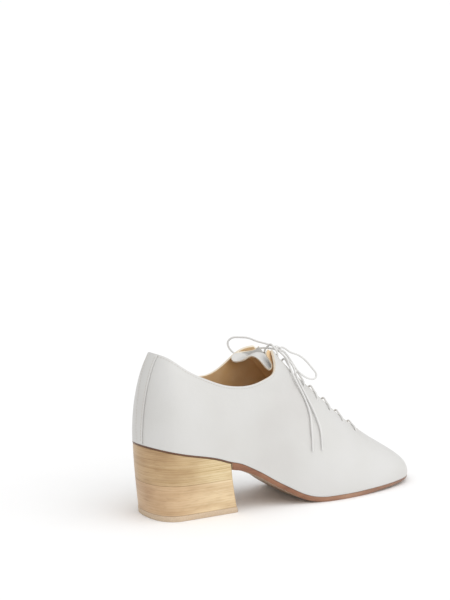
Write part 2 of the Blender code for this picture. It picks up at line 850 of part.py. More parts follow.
def make_loops(look):
    """Loops of the bow, one to each side."""
    loops = []
    for name, table in (("lace_loop_inner", MEDIAL_LOOP), ("lace_loop_outer", LATERAL_LOOP)):
        route = spaced([free_point(row) for row in table], CORD_STEP)
        loops.append(tube(name, route, LACE_DIAMETER, look))
    return loops


def make_ends(look):
    """Loose ends of the lace, hanging over the outer side of the upper."""
    ends = []
    rows = (("rear", REAR_END_START, REAR_END), ("front", FRONT_END_START, FRONT_END))
    for name, start, table in rows:
        sizes = np.array(table) * (LENGTH, BALL_WIDTH, MM)
        hung = [across_last(*row) for row in sizes]
        route = spaced([free_point(start), *hung], CORD_STEP)
        ends.append(tube(f"lace_end_{name}", route, LACE_DIAMETER, look))
    return ends


def centre_on_floor(nodes, cords):
    """Moves the model so that its box stands centred on the origin."""
    bpy.context.view_layer.update()
    graph = bpy.context.evaluated_depsgraph_get()
    corners = []
    for made in nodes:
        mesh = made.evaluated_get(graph).to_mesh()
        corners.extend(np.array(vertex.co) for vertex in mesh.vertices)
    low, high = np.min(corners, axis=0), np.max(corners, axis=0)
    shift = Matrix.Translation((-(low[0] + high[0]) / 2, -(low[1] + high[1]) / 2, -low[2]))
    for made in [*nodes, *cords]:
        made.data.transform(shift)
    return shift


def clear_scene():
    for old in list(bpy.data.objects):
        bpy.data.objects.remove(old, do_unlink=True)


def main():
    clear_scene()
    leather = material("white_calf", (0.80, 0.78, 0.75), 0.45)
    lining = material("tan_lining", (0.42, 0.26, 0.12), 0.60)
    sole_leather = material("sole_leather", (0.40, 0.17, 0.09), 0.50)
    upper_wood = material("upper_wood", (0.62, 0.46, 0.25), 0.45)
    lower_wood = material("lower_wood", (0.72, 0.54, 0.31), 0.45)
    lift_rubber = material("lift_rubber", (0.63, 0.46, 0.32), 0.65)
    lace_cotton = material("lace_cotton", (0.82, 0.80, 0.78), 0.80)
    nodes = [
        make_upper(leather),
        make_back_strip(leather),
        make_tongue(leather),
        make_insole(lining),
        make_outsole(sole_leather),
        *make_heel_blocks(upper_wood, lower_wood),
        make_top_lift(lift_rubber),
        *make_lace_bars(lace_cotton),
    ]
    cords = [
        make_knot(lace_cotton),
        *make_loops(lace_cotton),
        *make_ends(lace_cotton),
    ]
    centre_on_floor(nodes, cords)


main()
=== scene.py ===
"""A right-foot lace-up shoe in pale calf, with a folded tongue, a round lace and a wooden heel.

The CAD model is the frame: +X runs to the toe, +Y to the inner side, +Z up, in metres.
"""

import bisect
import functools
import math

import bmesh
import bpy
import numpy as np
from mathutils import Matrix, Vector


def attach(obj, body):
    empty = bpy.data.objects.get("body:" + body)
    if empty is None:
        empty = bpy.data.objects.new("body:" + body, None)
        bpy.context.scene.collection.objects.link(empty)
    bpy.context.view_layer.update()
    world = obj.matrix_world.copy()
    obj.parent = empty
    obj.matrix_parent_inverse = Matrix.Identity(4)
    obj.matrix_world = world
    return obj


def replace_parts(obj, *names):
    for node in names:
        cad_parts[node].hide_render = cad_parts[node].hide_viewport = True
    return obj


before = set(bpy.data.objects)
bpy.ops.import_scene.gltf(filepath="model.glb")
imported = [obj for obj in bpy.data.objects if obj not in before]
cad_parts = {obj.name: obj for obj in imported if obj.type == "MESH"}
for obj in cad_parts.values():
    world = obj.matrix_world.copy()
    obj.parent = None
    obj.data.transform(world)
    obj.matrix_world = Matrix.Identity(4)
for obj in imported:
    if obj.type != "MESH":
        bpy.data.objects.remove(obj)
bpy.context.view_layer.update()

# Camera. It stands behind the shoe on its outer side, a little above it, and looks at the heel
# and the outer side through a long lens.
MM = 0.001
CAMERA_TURN = math.radians(34.67)
CAMERA_TILT = math.radians(9.26)
CAMERA_PLACE = Vector((-1070.5, -1482.6, 447.0)) * MM
LENS_LENGTH = 149.65
SENSOR_WIDTH = 36
FAR_CLIP = 60


def make_camera():
    """Camera at the photograph's angle, level with the horizon."""
    level = Vector((math.sin(CAMERA_TURN), math.cos(CAMERA_TURN), 0)) * math.cos(CAMERA_TILT)
    ahead = level - Vector((0, 0, math.sin(CAMERA_TILT)))
    right = Vector((math.cos(CAMERA_TURN), -math.sin(CAMERA_TURN), 0))
    up = right.cross(ahead)
    data = bpy.data.cameras.new("camera")
    data.lens = LENS_LENGTH
    data.sensor_width = SENSOR_WIDTH
    data.clip_end = FAR_CLIP
    made = bpy.data.objects.new("camera", data)
    bpy.context.collection.objects.link(made)
    turned = Matrix((right, up, -ahead)).transposed().to_4x4()
    made.matrix_world = Matrix.Translation(CAMERA_PLACE) @ turned
    return made


bpy.context.scene.camera = make_camera()

# Upper. One piece of smooth pale calf, 1.8 mm thick with its tan lining, pulled over a last and
# open at the collar and down the instep. Its cut edges are left raw and painted cream.
LENGTH = 242 * MM
BALL_WIDTH = 81 * MM
HEEL_HEIGHT = 54.6 * MM
INSTEP_HEIGHT = 120 * MM
BACK_HEIGHT = 65 * MM
TOE_SPRING = 1.6 * MM
INNER_ARCH_RISE = 6.5 * MM
INNER_ARCH_AT = 0.43 * LENGTH
INNER_ARCH_SPREAD = 0.1075 * LENGTH
SPRING_START = 0.74 * LENGTH
SOLE_EDGE = 3.7 * MM
WALL = 1.8 * MM
CLEARANCE = 0.3 * MM
THROAT_END = 0.7975 * LENGTH
THROAT_BACK = 0.372 * LENGTH
THROAT_TOP = 0.459 * LENGTH
THROAT_OPENING = 2.5
THROAT_WIDTH = 6 * MM
THROAT_TOP_WIDTH = 21.6 * MM
THROAT_COLUMNS = 96
COLLAR_COLUMNS = 84
UPPER_ROWS = 44
GRID = 1.0
MERGE = 0.01 * MM
SHARE_STEP = 0.002
SCAN_FROM = 0.2
SCAN_PLACES = 81
EDGE_PLACES = 241
LATERAL, MEDIAL = -1, 1

# The middle of the CAD model's box, from the back of the heel and the middle of the last.
TO_FRAME = np.array((-120.098, -0.235, 0)) * MM

# The last, from the heel's back to the toe. along and ridge are shares of LENGTH, lateral and
# medial of BALL_WIDTH. ridge is where the section meets the ridge line. rise is the share of
# the section's height over which its side climbs, lean how far it leans out, shoulder the
# share of its width that the top keeps, and roof the slope beside the ridge.
LAST_COLUMNS = ("along", "lateral", "medial", "ridge", "rise", "lean", "shoulder", "roof")
LAST = (
    (0.000, 0.000, 0.000, 0.107, 0.42, 0.06, 0.69, 0.00),
    (0.019, -0.210, 0.210, 0.112, 0.42, 0.05, 0.71, 0.00),
    (0.050, -0.315, 0.315, 0.128, 0.42, 0.04, 0.73, 0.00),
    (0.107, -0.372, 0.370, 0.157, 0.42, 0.03, 0.75, 0.00),
    (0.207, -0.378, 0.362, 0.223, 0.42, 0.03, 0.80, 0.00),
    (0.310, -0.354, 0.315, 0.318, 0.42, 0.04, 0.90, 0.00),
    (0.405, -0.368, 0.302, 0.405, 0.40, 0.06, 0.95, 0.05),
    (0.450, -0.398, 0.330, 0.450, 0.39, 0.07, 0.84, 0.25),
    (0.496, -0.428, 0.364, 0.496, 0.38, 0.08, 0.62, 0.45),
    (0.599, -0.488, 0.454, 0.595, 0.34, 0.10, 0.50, 0.60),
    (0.682, -0.490, 0.498, 0.665, 0.33, 0.10, 0.48, 0.60),
    (0.785, -0.452, 0.479, 0.731, 0.33, 0.11, 0.48, 0.60),
    (0.876, -0.383, 0.420, 0.769, 0.33, 0.12, 0.50, 0.55),
    (0.946, -0.278, 0.333, 0.787, 0.33, 0.14, 0.52, 0.50),
    (0.9855, -0.123, 0.204, 0.7955, 0.33, 0.16, 0.54, 0.40),
    (0.998, 0.037, 0.037, 0.7975, 0.33, 0.16, 0.54, 0.30),
)

# Ridge line over the instep: along is a share of LENGTH, height of INSTEP_HEIGHT. Behind the
# facings it is the top of the last, where the shoe is open.
RIDGE = (
    (0.107, 1.083),
    (0.186, 1.055),
    (0.269, 1.035),
    (0.351, 1.035),
    (0.405, 1.045),
    (0.438, 1.025),
    (0.459, 0.998),
    (0.496, 0.926),
    (0.541, 0.838),
    (0.591, 0.742),
    (0.636, 0.656),
    (0.684, 0.572),
    (0.731, 0.488),
    (0.764, 0.434),
    (0.7975, 0.382),
)

# Edge where upper and sole meet: along is a share of LENGTH, arch of the seat's height over
# the forepart.
ARCH = (
    (0.000, 1.000),
    (0.091, 0.897),
    (0.157, 0.832),
    (0.207, 0.767),
    (0.244, 0.704),
    (0.289, 0.640),
    (0.322, 0.567),
    (0.372, 0.439),
    (0.421, 0.294),
    (0.461, 0.188),
    (0.499, 0.091),
    (0.537, 0.028),
    (0.580, 0.000),
    (0.700, 0.000),
    (1.000, 0.000),
)

# Collar edge: along is a share of LENGTH, the heights are shares of BACK_HEIGHT over the seat.
COLLAR = (
    (0.040, 1.020, 1.020),
    (0.062, 0.988, 0.990),
    (0.097, 0.885, 0.890),
    (0.127, 0.808, 0.815),
    (0.161, 0.745, 0.750),
    (0.198, 0.685, 0.690),
    (0.237, 0.632, 0.640),
    (0.277, 0.600, 0.605),
    (0.322, 0.588, 0.640),
    (0.355, 0.600, 0.720),
    (0.380, 0.625, 0.800),
    (0.409, 0.662, 0.880),
    (0.431, 0.720, 0.912),
    (0.444, 0.820, 0.920),
    (0.452, 0.905, 0.922),
    (0.460, 0.940, 0.922),
    (0.480, 0.950, 0.922),
)


def slopes(knots, rows, closed):
    """Slopes at the knots that keep a cubic curve through the rows smooth in its bend too."""
    count = len(rows)
    steps = np.diff(knots)
    system = np.zeros((count, count))
    right = np.zeros_like(rows)
    for i in range(count):
        if not closed and i in (0, count - 1):
            other = 1 if i == 0 else count - 2
            step = steps[0] if i == 0 else steps[-1]
            system[i, i] = 2
            system[i, other] = 1
            right[i] = 3 * (rows[max(i, other)] - rows[min(i, other)]) / step
            continue
        back, ahead = (i - 1) % count, (i + 1) % count
        before, after = steps[i - 1], steps[i]
        system[i, back] += 1 / before
        system[i, i] += 2 / before + 2 / after
        system[i, ahead] += 1 / after
        right[i] = 3 * (rows[i] - rows[back]) / before**2 + 3 * (rows[ahead] - rows[i]) / after**2
    return np.linalg.solve(system, right)


class Curve:
    """A smooth cubic curve through rows of values at the given knots."""

    def __init__(self, knots, rows, closed=False):
        self.spans = [float(knot) for knot in knots]
        self.rows = np.array(rows, float)
        self.closed = closed
        self.slopes = slopes(self.spans, self.rows, closed)

    def __call__(self, at):
        first, last = self.spans[0], self.spans[-1]
        if self.closed:
            at = first + (at - first) % (last - first)
        i = min(max(bisect.bisect_left(self.spans, at) - 1, 0), len(self.spans) - 2)
        j = (i + 1) % len(self.rows)
        step = self.spans[i + 1] - self.spans[i]
        s = (at - self.spans[i]) / step
        back, ahead = (1 - s) ** 2, s * s
        held = (1 + 2 * s) * back * self.rows[i] + (3 - 2 * s) * ahead * self.rows[j]
        bent = s * back * self.slopes[i] - (1 - s) * ahead * self.slopes[j]
        return held + step * bent


def table_curve(table):
    """The curve of a table whose first column is a share of LENGTH."""
    rows = np.array(table, float)
    return Curve(rows[:, 0], rows[:, 1:])


def around_the_last():
    """The last's rows in one closed curve: toe, lateral side, heel, medial side, toe."""
    rows = np.array(LAST, float)
    toe_first = rows[::-1]
    lateral = np.delete(toe_first, LAST_COLUMNS.index("medial"), axis=1)
    medial = np.delete(rows, LAST_COLUMNS.index("lateral"), axis=1)
    sides = np.concatenate([lateral, medial[1:-1]])
    x = toe_first[:, 0] * LENGTH
    y = (toe_first[:, 2] - toe_first[:, 1]) * BALL_WIDTH / 2
    steps = np.hypot(np.diff(x), np.diff(y))
    knots = np.concatenate([[0], np.cumsum(np.concatenate([steps, steps[::-1]]))])
    return Curve(knots / knots[-1], sides, closed=True)


AROUND = around_the_last()
RIDGE_CURVE = table_curve(RIDGE)
ARCH_CURVE = table_curve(ARCH)
COLLAR_CURVE = table_curve(COLLAR)


def ridge_height(x):
    return INSTEP_HEIGHT * float(RIDGE_CURVE(x / LENGTH)[0])


def feather_height(x, inner=0.0):
    """Height of the edge where upper and sole meet; inner is 1 on the inner side, else 0."""
    forepart = SOLE_EDGE + CLEARANCE
    spring = max(0, x - SPRING_START) / (LENGTH - SPRING_START)
    arch = max(0, float(ARCH_CURVE(x / LENGTH)[0]))
    inner_rise = INNER_ARCH_RISE * math.exp(-(((x - INNER_ARCH_AT) / INNER_ARCH_SPREAD) ** 2))
    seat = forepart + (HEEL_HEIGHT - forepart) * arch
    return seat + TOE_SPRING * spring**2 + inner_rise * inner


def collar_height(x, side):
    share = COLLAR_CURVE(np.clip(x / LENGTH, COLLAR[0][0], COLLAR[-1][0]))
    return HEEL_HEIGHT + BACK_HEIGHT * float(share[0 if side == LATERAL else 1])


def throat_half_width(x):
    """Half the gap between the facings, which widens towards the ankle."""
    opened = np.clip((THROAT_END - x) / (THROAT_END - THROAT_TOP), 0, 1)
    return (THROAT_WIDTH + (THROAT_TOP_WIDTH - THROAT_WIDTH) * opened**THROAT_OPENING) / 2


@functools.cache
def section(q):
    """The four points that shape the last's section at a share round it."""
    along, across, ridge, rise, lean, shoulder, roof = AROUND(q)
    x = along * LENGTH
    foot = np.array((x, across * BALL_WIDTH, feather_height(x, (1 + side_of(q)) / 2)))
    top_x = ridge * LENGTH
    top = np.array((top_x, 0, ridge_height(top_x)))
    out = foot[:2] - top[:2]
    reach = math.hypot(*out)
    hx, hy = out / reach
    slope = (ridge_height(top_x + MM) - ridge_height(top_x - MM)) / (2 * MM)
    side = foot + rise * (top[2] - foot[2]) * np.array((lean * hx, lean * hy, 1))
    drop = slope * hx - roof * abs(hy)
    crest = top + shoulder * reach * np.array((hx, hy, drop))
    return foot, side, crest, top


@functools.cache
def outline(q):
    """The feather edge in plan at a share q of the way round."""
    row = AROUND(q)
    return np.array((row[0] * LENGTH, row[1] * BALL_WIDTH))


EDGE = np.array([outline(q) for q in np.linspace(0.5, 0, EDGE_PLACES)])
INNER_EDGE = np.array([outline(q) for q in np.linspace(0.5, 1, EDGE_PLACES)])


def across_share(x, y):
    """How far a point of the plan lies from the outer edge, at 0, towards the inner edge, at 1."""
    outer = np.interp(x, EDGE[:, 0], EDGE[:, 1])
    inner = np.interp(x, INNER_EDGE[:, 0], INNER_EDGE[:, 1])
    return float(np.clip((y - outer) / max(MM, inner - outer), 0, 1))


def last_point(q, t):
    """A point of the last: q goes round it, and t climbs from the feather edge to the ridge."""
    foot, side, crest, top = section(q)
    s = 1 - t
    return s**3 * foot + 3 * s * s * t * side + 3 * s * t * t * crest + t**3 * top


def last_normal(q, t):
    low = min(t, 1 - SHARE_STEP)
    round_way = last_point(q + SHARE_STEP, low) - last_point(q - SHARE_STEP, low)
    up_way = last_point(q, low + SHARE_STEP) - last_point(q, max(0, low - SHARE_STEP))
    normal = np.cross(up_way, round_way)
    return normal / np.linalg.norm(normal)


def narrowed(low, high, past, halvings):
    """What is left of a span, in which past turns true, once it has been halved so often."""
    for _ in range(halvings):
        middle = (low + high) / 2
        low, high = (low, middle) if past(middle) else (middle, high)
    return low, high


def first_crossing(inside, low, high=1.0):
    """The first t from low at which inside(t) turns true."""
    scan = np.linspace(low, high, SCAN_PLACES)
    for before, after in zip(scan, scan[1:]):
        if inside(after):
            return narrowed(before, after, inside, 20)[1]
    return high


def side_of(q):
    return LATERAL if q % 1 < 0.5 else MEDIAL


def in_throat(point):
    x, y = point[0], point[1]
    if x < THROAT_BACK:
        return False
    if x < THROAT_END:
        return abs(y) < throat_half_width(x)
    return math.hypot(x - THROAT_END, y) < THROAT_WIDTH / 2


def collar_edge(q):
    side = side_of(q)

    def over(t):
        point = last_point(q, t)
        return point[2] > collar_height(point[0], side)

    return first_crossing(over, SCAN_FROM)


def throat_edge(q):
    return first_crossing(lambda t: in_throat(last_point(q, t)), SCAN_FROM)


def facing_corner(low, high):
    """The share round at which the collar edge meets the facing."""
    return sum(narrowed(low, high, lambda q: throat_edge(q) >= collar_edge(q), 24)) / 2


LATERAL_CORNER = facing_corner(0.15, 0.42)
MEDIAL_CORNER = facing_corner(0.85, 0.58)


@functools.cache
def top_edge(q):
    return min(collar_edge(q), throat_edge(q))


def upper_shares():
    """Shares round the upper, with one at each facing corner."""
    front = np.linspace(0, LATERAL_CORNER, THROAT_COLUMNS + 1)
    lateral = np.linspace(LATERAL_CORNER, 0.5, COLLAR_COLUMNS + 1)
    medial = np.linspace(0.5, MEDIAL_CORNER, COLLAR_COLUMNS + 1)
    back = np.linspace(MEDIAL_CORNER, 1, THROAT_COLUMNS + 1)
    return np.concatenate([front, lateral[1:], medial[1:], back[1:]])


def in_frame(point):
    return np.array(point) + TO_FRAME


def on_last(q, t, height):
    """A point at a height over the last's surface."""
    return last_point(q, t) + last_normal(q, t) * height


def linear(code):
    """An sRGB hex colour as linear red, green, blue and alpha."""
    shares = [int(code[i : i + 2], 16) / 255 for i in (1, 3, 5)]
    return (*[c / 12.92 if c <= 0.04045 else ((c + 0.055) / 1.055) ** 2.4 for c in shares], 1)


def new_look(name, colour, roughness, **sockets):
    """A material with its plain values set on the shader's own sockets."""
    look = bpy.data.materials.new(name)
    look.use_nodes = True
    shader = look.node_tree.nodes["Principled BSDF"]
    shader.inputs["Base Color"].default_value = linear(colour)
    shader.inputs["Roughness"].default_value = roughness
    for socket, value in sockets.items():
        shader.inputs[socket.replace("_", " ")].default_value = value
    look.diffuse_color = linear(colour)
    return look


def add_node(look, kind, settings, **links):
    """Adds a node with its settings, and links the named inputs to other nodes' outputs.

    The stops of a colour ramp are given as places with sRGB codes.
    """
    node = look.node_tree.nodes.new("ShaderNode" + kind)
    for key, value in settings.items():
        if key == "stops":
            for place, code in value[1:-1]:
                node.color_ramp.elements.new(place).color = linear(code)
            for end, (place, code) in ((0, value[0]), (-1, value[-1])):
                node.color_ramp.elements[end].position = place
                node.color_ramp.elements[end].color = linear(code)
        elif key in node.inputs:
            node.inputs[key].default_value = value
        else:
            setattr(node, key, value)
    for key, output in links.items():
        look.node_tree.links.new(output, node.inputs[key])
    return node


def finish_look(look, colour=None, roughness=None, bump=None):
    """Links a pattern's colour, roughness and bump to the material's shader."""
    shader = look.node_tree.nodes["Principled BSDF"]
    for socket, node in (("Base Color", colour), ("Roughness", roughness), ("Normal", bump)):
        if node is not None:
            look.node_tree.links.new(node.outputs[0], shader.inputs[socket])
    return look


def in_millimetres(look, stretch=(1, 1, 1), turn=(0, 0, 0)):
    """Object coordinates in millimetres, stretched along the axes."""
    place = add_node(look, "TexCoord", {})
    scale = [share / MM for share in stretch]
    settings = {"Scale": scale, "Rotation": turn}
    return add_node(look, "Mapping", settings, Vector=place.outputs["Object"])


def calf_look():
    """Calf leather, finished smooth: pale warm grey, faintly clouded, with a fine soft pebble."""
    look = new_look("smooth_pale_calf", "#D0CFCC", 0.44, Coat_Weight=0.05, Coat_Roughness=0.3)
    place = in_millimetres(look)
    cloud = add_node(look, "TexNoise", {"Scale": 0.018, "Detail": 2.0}, Vector=place.outputs[0])
    fleck = add_node(look, "TexNoise", {"Scale": 0.35, "Detail": 2.0}, Vector=place.outputs[0])
    stops = ((0.3, "#CCCAC7"), (0.5, "#D0CFCC"), (0.7, "#D3D2D0"))
    colour = add_node(look, "ValToRGB", {"stops": stops}, Fac=cloud.outputs["Fac"])
    dull = {"From Min": 0.3, "From Max": 0.7, "To Min": 0.40, "To Max": 0.52}
    rough = add_node(look, "MapRange", dull, Value=fleck.outputs["Fac"])
    cells = {"Scale": 0.9, "feature": "SMOOTH_F1"}
    pebble = add_node(look, "TexVoronoi", cells, Vector=place.outputs[0])
    wave = add_node(look, "TexNoise", {"Scale": 0.11, "Detail": 1.0}, Vector=place.outputs[0])
    dip = {"Strength": 0.10, "Distance": 2.0 * MM}
    soft = add_node(look, "Bump", dip, Height=wave.outputs["Fac"])
    grain = {"Strength": 0.14, "Distance": 0.15 * MM}
    bump = add_node(look, "Bump", grain, Height=pebble.outputs["Distance"], Normal=soft.outputs[0])
    return finish_look(look, colour, rough, bump)


def lining_look():
    """Lining calf, undyed: tan, matt and lightly napped, darker where the foot has polished it."""
    look = new_look("tan_lining_calf", "#DDBB8E", 0.62, Sheen_Weight=0.1)
    place = in_millimetres(look)
    cloud = add_node(look, "TexNoise", {"Scale": 0.05, "Detail": 4.0}, Vector=place.outputs[0])
    nap = add_node(look, "TexNoise", {"Scale": 1.3, "Detail": 2.0}, Vector=place.outputs[0])
    stops = ((0.3, "#D5B07C"), (0.7, "#E3C59B"))
    colour = add_node(look, "ValToRGB", {"stops": stops}, Fac=cloud.outputs["Fac"])
    raised = {"Strength": 0.15, "Distance": 0.15 * MM}
    bump = add_node(look, "Bump", raised, Height=nap.outputs["Fac"])
    return finish_look(look, colour, None, bump)


def edge_look():
    """Cut leather edge, painted cream: matt, with the fibres just showing."""
    look = new_look("cream_edge_paint", "#E6DCC9", 0.6)
    place = in_millimetres(look)
    fibre = add_node(look, "TexNoise", {"Scale": 1.6, "Detail": 3.0}, Vector=place.outputs[0])
    stops = ((0.3, "#E2D7C3"), (0.7, "#E9E0CF"))
    colour = add_node(look, "ValToRGB", {"stops": stops}, Fac=fibre.outputs["Fac"])
    raised = {"Strength": 0.2, "Distance": 0.1 * MM}
    bump = add_node(look, "Bump", raised, Height=fibre.outputs["Fac"])
    return finish_look(look, colour, None, bump)


def add_piece(name, mesh, looks, slot, crease=40):
    """A piece made from a bmesh, riding on the shoe's one body."""
    data = bpy.data.meshes.new(name)
    mesh.to_mesh(data)
    mesh.free()
    data.shade_smooth()
    data.set_sharp_from_angle(angle=math.radians(crease))
    for look in looks:
        data.materials.append(look)
    made = bpy.data.objects.new(name, data)
    bpy.context.collection.objects.link(made)
    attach(made, "root")
    return made


def sheet(columns, rows, place, zone=None):
    """A grid whose points are put where place says; zone gives the material of a face."""
    mesh = bmesh.new()
    bmesh.ops.create_grid(mesh, x_segments=columns, y_segments=rows, size=GRID / 2, calc_uvs=True)
    where = {}
    for vertex in mesh.verts:
        column = round((vertex.co.x / GRID + 0.5) * columns)
        row = round((vertex.co.y / GRID + 0.5) * rows)
        where[vertex] = column, row
        vertex.co = in_frame(place(column, row))
    if zone is not None:
        for face in mesh.faces:
            corner = [where[vertex] for vertex in face.verts]
            face.material_index = zone(min(c for c, _ in corner), min(r for _, r in corner))
    bmesh.ops.remove_doubles(mesh, verts=mesh.verts, dist=MERGE)
    return mesh


def face_outwards(mesh, centre):
    """Turns a sheet's faces away from the centre, so that its wall is added inwards."""
    bmesh.ops.recalc_face_normals(mesh, faces=mesh.faces)
    facing = sum(face.normal.dot(face.calc_center_median() - centre) for face in mesh.faces)
    if facing < 0:
        bmesh.ops.reverse_faces(mesh, faces=mesh.faces)


def thicken(made, thickness, offset, lining=0, rim=0, even=True, rounded=0.0):
    """Gives a sheet its wall, its lining, its cut edge, and that edge's rounding."""
    wall = made.modifiers.new("wall", "SOLIDIFY")
    wall.thickness = thickness
    wall.offset = offset
    wall.use_even_offset = even
    wall.use_rim = True
    wall.material_offset = lining
    wall.material_offset_rim = rim
    if rounded > 0:
        soft = made.modifiers.new("rounded", "BEVEL")
        soft.width = rounded
        soft.segments = 2
        soft.limit_method = "ANGLE"
        soft.angle_limit = math.radians(55)
    return made


# Soft places in the leather: where each lies along, across and up, its three spreads, and how
# far the leather sinks there, all in mm. The sign of the second value gives the side.
HOLLOWS = (
    ((108, -28, 86), (24, 60, 7), 1.1),
    ((150, -30, 60), (20, 60, 9), 0.5),
    ((40, -30, 92), (20, 60, 12), 0.5),
    ((108, 24, 92), (24, 60, 8), 0.9),
    ((205, -20, 38), (7, 60, 9), 0.35),
)
EYELET_ROWS = 7
EYELET_FIRST = 0.785 * LENGTH
EYELET_LAST = 0.4814 * LENGTH
EYELET_ACROSS = 8.6 * MM
PUCKER_DEPTH = 0.55 * MM
PUCKER_SPREAD = 3.6 * MM
STRAIGHT_TRIES = 9
STRAIGHT_DAMPING = 0.6
EYELET_LINES = np.linspace(EYELET_FIRST, EYELET_LAST, EYELET_ROWS)


@functools.cache
def share_at_ridge(x):
    """The share round on the outer side whose section meets the ridge at x."""
    return sum(narrowed(0.0, 0.5, lambda q: AROUND(q)[2] * LENGTH <= x, 30)) / 2


def found_across(x, across, height=0.0):
    """The share round and up of the place that lies across from the ridge point at x."""
    q = share_at_ridge(x)
    around = q if across <= 0 else 1 - q

    def near(t):
        return on_last(around, t, height)[1] * side_of(around) <= abs(across)

    return around, sum(narrowed(0.22, 1.0, near, 24)) / 2


def across_last(x, across, height):
    """A point over the last, across from its middle, whose section meets the ridge at x."""
    return on_last(*found_across(x, across, height), height)


def found_straight(x, across, height=0.0):
    """The share round and up of the place at x along the shoe and across from its middle."""
    ridge = x
    for _ in range(STRAIGHT_TRIES):
        place = found_across(ridge, across, height)
        ridge += (x - on_last(*place, height)[0]) * STRAIGHT_DAMPING
    return place


EYELETS = [
    found_straight(x, side * EYELET_ACROSS) for x in EYELET_LINES for side in (LATERAL, MEDIAL)
]
EYELET_PLACES = np.array([last_point(*place) for place in EYELETS])


def sunken(point):
    """How far the soft leather lies under the last's surface at a point."""
    depth = 0.0
    for middle, spread, deep in HOLLOWS:
        if middle[1] * point[1] > 0:
            away = (point / MM - middle) / spread
            depth += deep * MM * math.exp(-float(away @ away))
    near = np.min(np.linalg.norm(EYELET_PLACES - point, axis=1))
    return depth + PUCKER_DEPTH * math.exp(-((near / PUCKER_SPREAD) ** 2))


def upper_point(q, t, height=0.0):
    """A point at a height over the upper, with its soft places."""
    point = last_point(q, t)
    return point + last_normal(q, t) * (height - sunken(point))


CALF = calf_look()
LINING = lining_look()
EDGE_PAINT = edge_look()
SHARES = upper_shares()
TOPS = [top_edge(q) for q in SHARES]
LAST_MIDDLE = Vector(in_frame((LENGTH / 2, 0, HEEL_HEIGHT)))


def make_upper():
    def place(column, row):
        return upper_point(SHARES[column], TOPS[column] * row / UPPER_ROWS)

    mesh = sheet(len(SHARES) - 1, UPPER_ROWS, place)
    face_outwards(mesh, LAST_MIDDLE)
    made = add_piece("upper_leather", mesh, (CALF, LINING, EDGE_PAINT), "white_calf")
    thicken(made, WALL, -1, lining=1, rim=2, rounded=0.3 * MM)
    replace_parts(made, "upper")


make_upper()

# Stitches. Fine polyester thread in short even stitches, a little sunk, 1.7 mm inside the collar
# and the facings, and along both edges of the back strip.
STITCH_PITCH = 2.3 * MM
STITCH_LENGTH = 1.75 * MM
THREAD = 0.4 * MM
TOP_MARGIN = 1.7 * MM
TOP_PROUD = 0.02 * MM
LINE_PLACES = 90


def thread_look():
    """Twisted polyester thread: cream, with a soft shine."""
    look = new_look("cream_thread", "#C6C1B7", 0.5, Sheen_Weight=0.2)
    place = in_millimetres(look)
    twist = add_node(look, "TexNoise", {"Scale": 2.5, "Detail": 1.0}, Vector=place.outputs[0])
    stops = ((0.3, "#B5AFA4"), (0.7, "#CFCAC1"))
    return finish_look(look, add_node(look, "ValToRGB", {"stops": stops}, Fac=twist.outputs["Fac"]))


THREAD_LOOK = thread_look()


def run_along(places):
    """The length run along a line of places, at each of them."""
    return np.concatenate([[0], np.cumsum(np.linalg.norm(np.diff(places, axis=0), axis=1))])


def on_line(at, run, rows):
    """The row of values that lies at a length along a line."""
    return np.array([np.interp(at, run, rows[:, i]) for i in range(3)])


def make_stitches(name, lines, slot="white_calf"):
    """Stitches at an even pitch along lines of places and the leather's normals there."""
    mesh = bmesh.new()
    for line in lines:
        places = np.array([place for place, _ in line])
        normals = np.array([normal for _, normal in line])
        run = run_along(places)
        count = int(run[-1] / STITCH_PITCH)
        for at in (np.arange(count) + 0.5) * run[-1] / count:
            ahead = on_line(at + STITCH_PITCH / 2, run, places)
            back = on_line(at - STITCH_PITCH / 2, run, places)
            out = Vector(on_line(at, run, normals)).normalized()
            along = Vector(ahead - back).normalized()
            side = out.cross(along).normalized()
            turned = Matrix((along, side, along.cross(side))).transposed().to_4x4()
            shape = Matrix.Diagonal((STITCH_LENGTH / 2, THREAD / 2, THREAD / 2, 1))
            seat = Matrix.Translation(in_frame(on_line(at, run, places))) @ turned @ shape
            bmesh.ops.create_uvsphere(mesh, u_segments=6, v_segments=5, radius=1, matrix=seat)
    bmesh.ops.recalc_face_normals(mesh, faces=mesh.faces)
    return add_piece(name, mesh, (THREAD_LOOK,), slot)


def below_edge(q, top, margin):
    """The share up of the place that lies a margin under the edge of the upper."""
    edge = last_point(q, top)

    def near(t):
        return np.linalg.norm(last_point(q, t) - edge) <= margin

    return narrowed(0.0, top, near, 20)[1]


def edge_lines():
    """Lines under the collar and beside the throat, on the upper."""
    lines = []
    corners = (0.02, LATERAL_CORNER, MEDIAL_CORNER, 0.98)
    for first, last in zip(corners, corners[1:]):
        line = []
        for q in np.linspace(first, last, LINE_PLACES):
            t = below_edge(q, top_edge(q), TOP_MARGIN)
            line.append((upper_point(q, t, TOP_PROUD), last_normal(q, t)))
        lines.append(line)
    return lines


make_stitches("collar_stitches", edge_lines())

# Back strip. A narrow cover of the same calf over the seam at the back of the heel, 12 mm wide at
# the collar and 8 mm at the seat, sewn down along both edges.
STRIP_THICKNESS = 0.8 * MM
STRIP_WIDTH = 12 * MM
STRIP_FOOT_WIDTH = 8 * MM
STRIP_MARGIN = 1.3 * MM
STRIP_PROUD = 0.03 * MM
STRIP_SHORT = 0.01
GIRTH_SHARE = 0.01
STRIP_COLUMNS = 16
STRIP_ROWS = 44


def strip_width(height):
    return STRIP_FOOT_WIDTH + (STRIP_WIDTH - STRIP_FOOT_WIDTH) * height


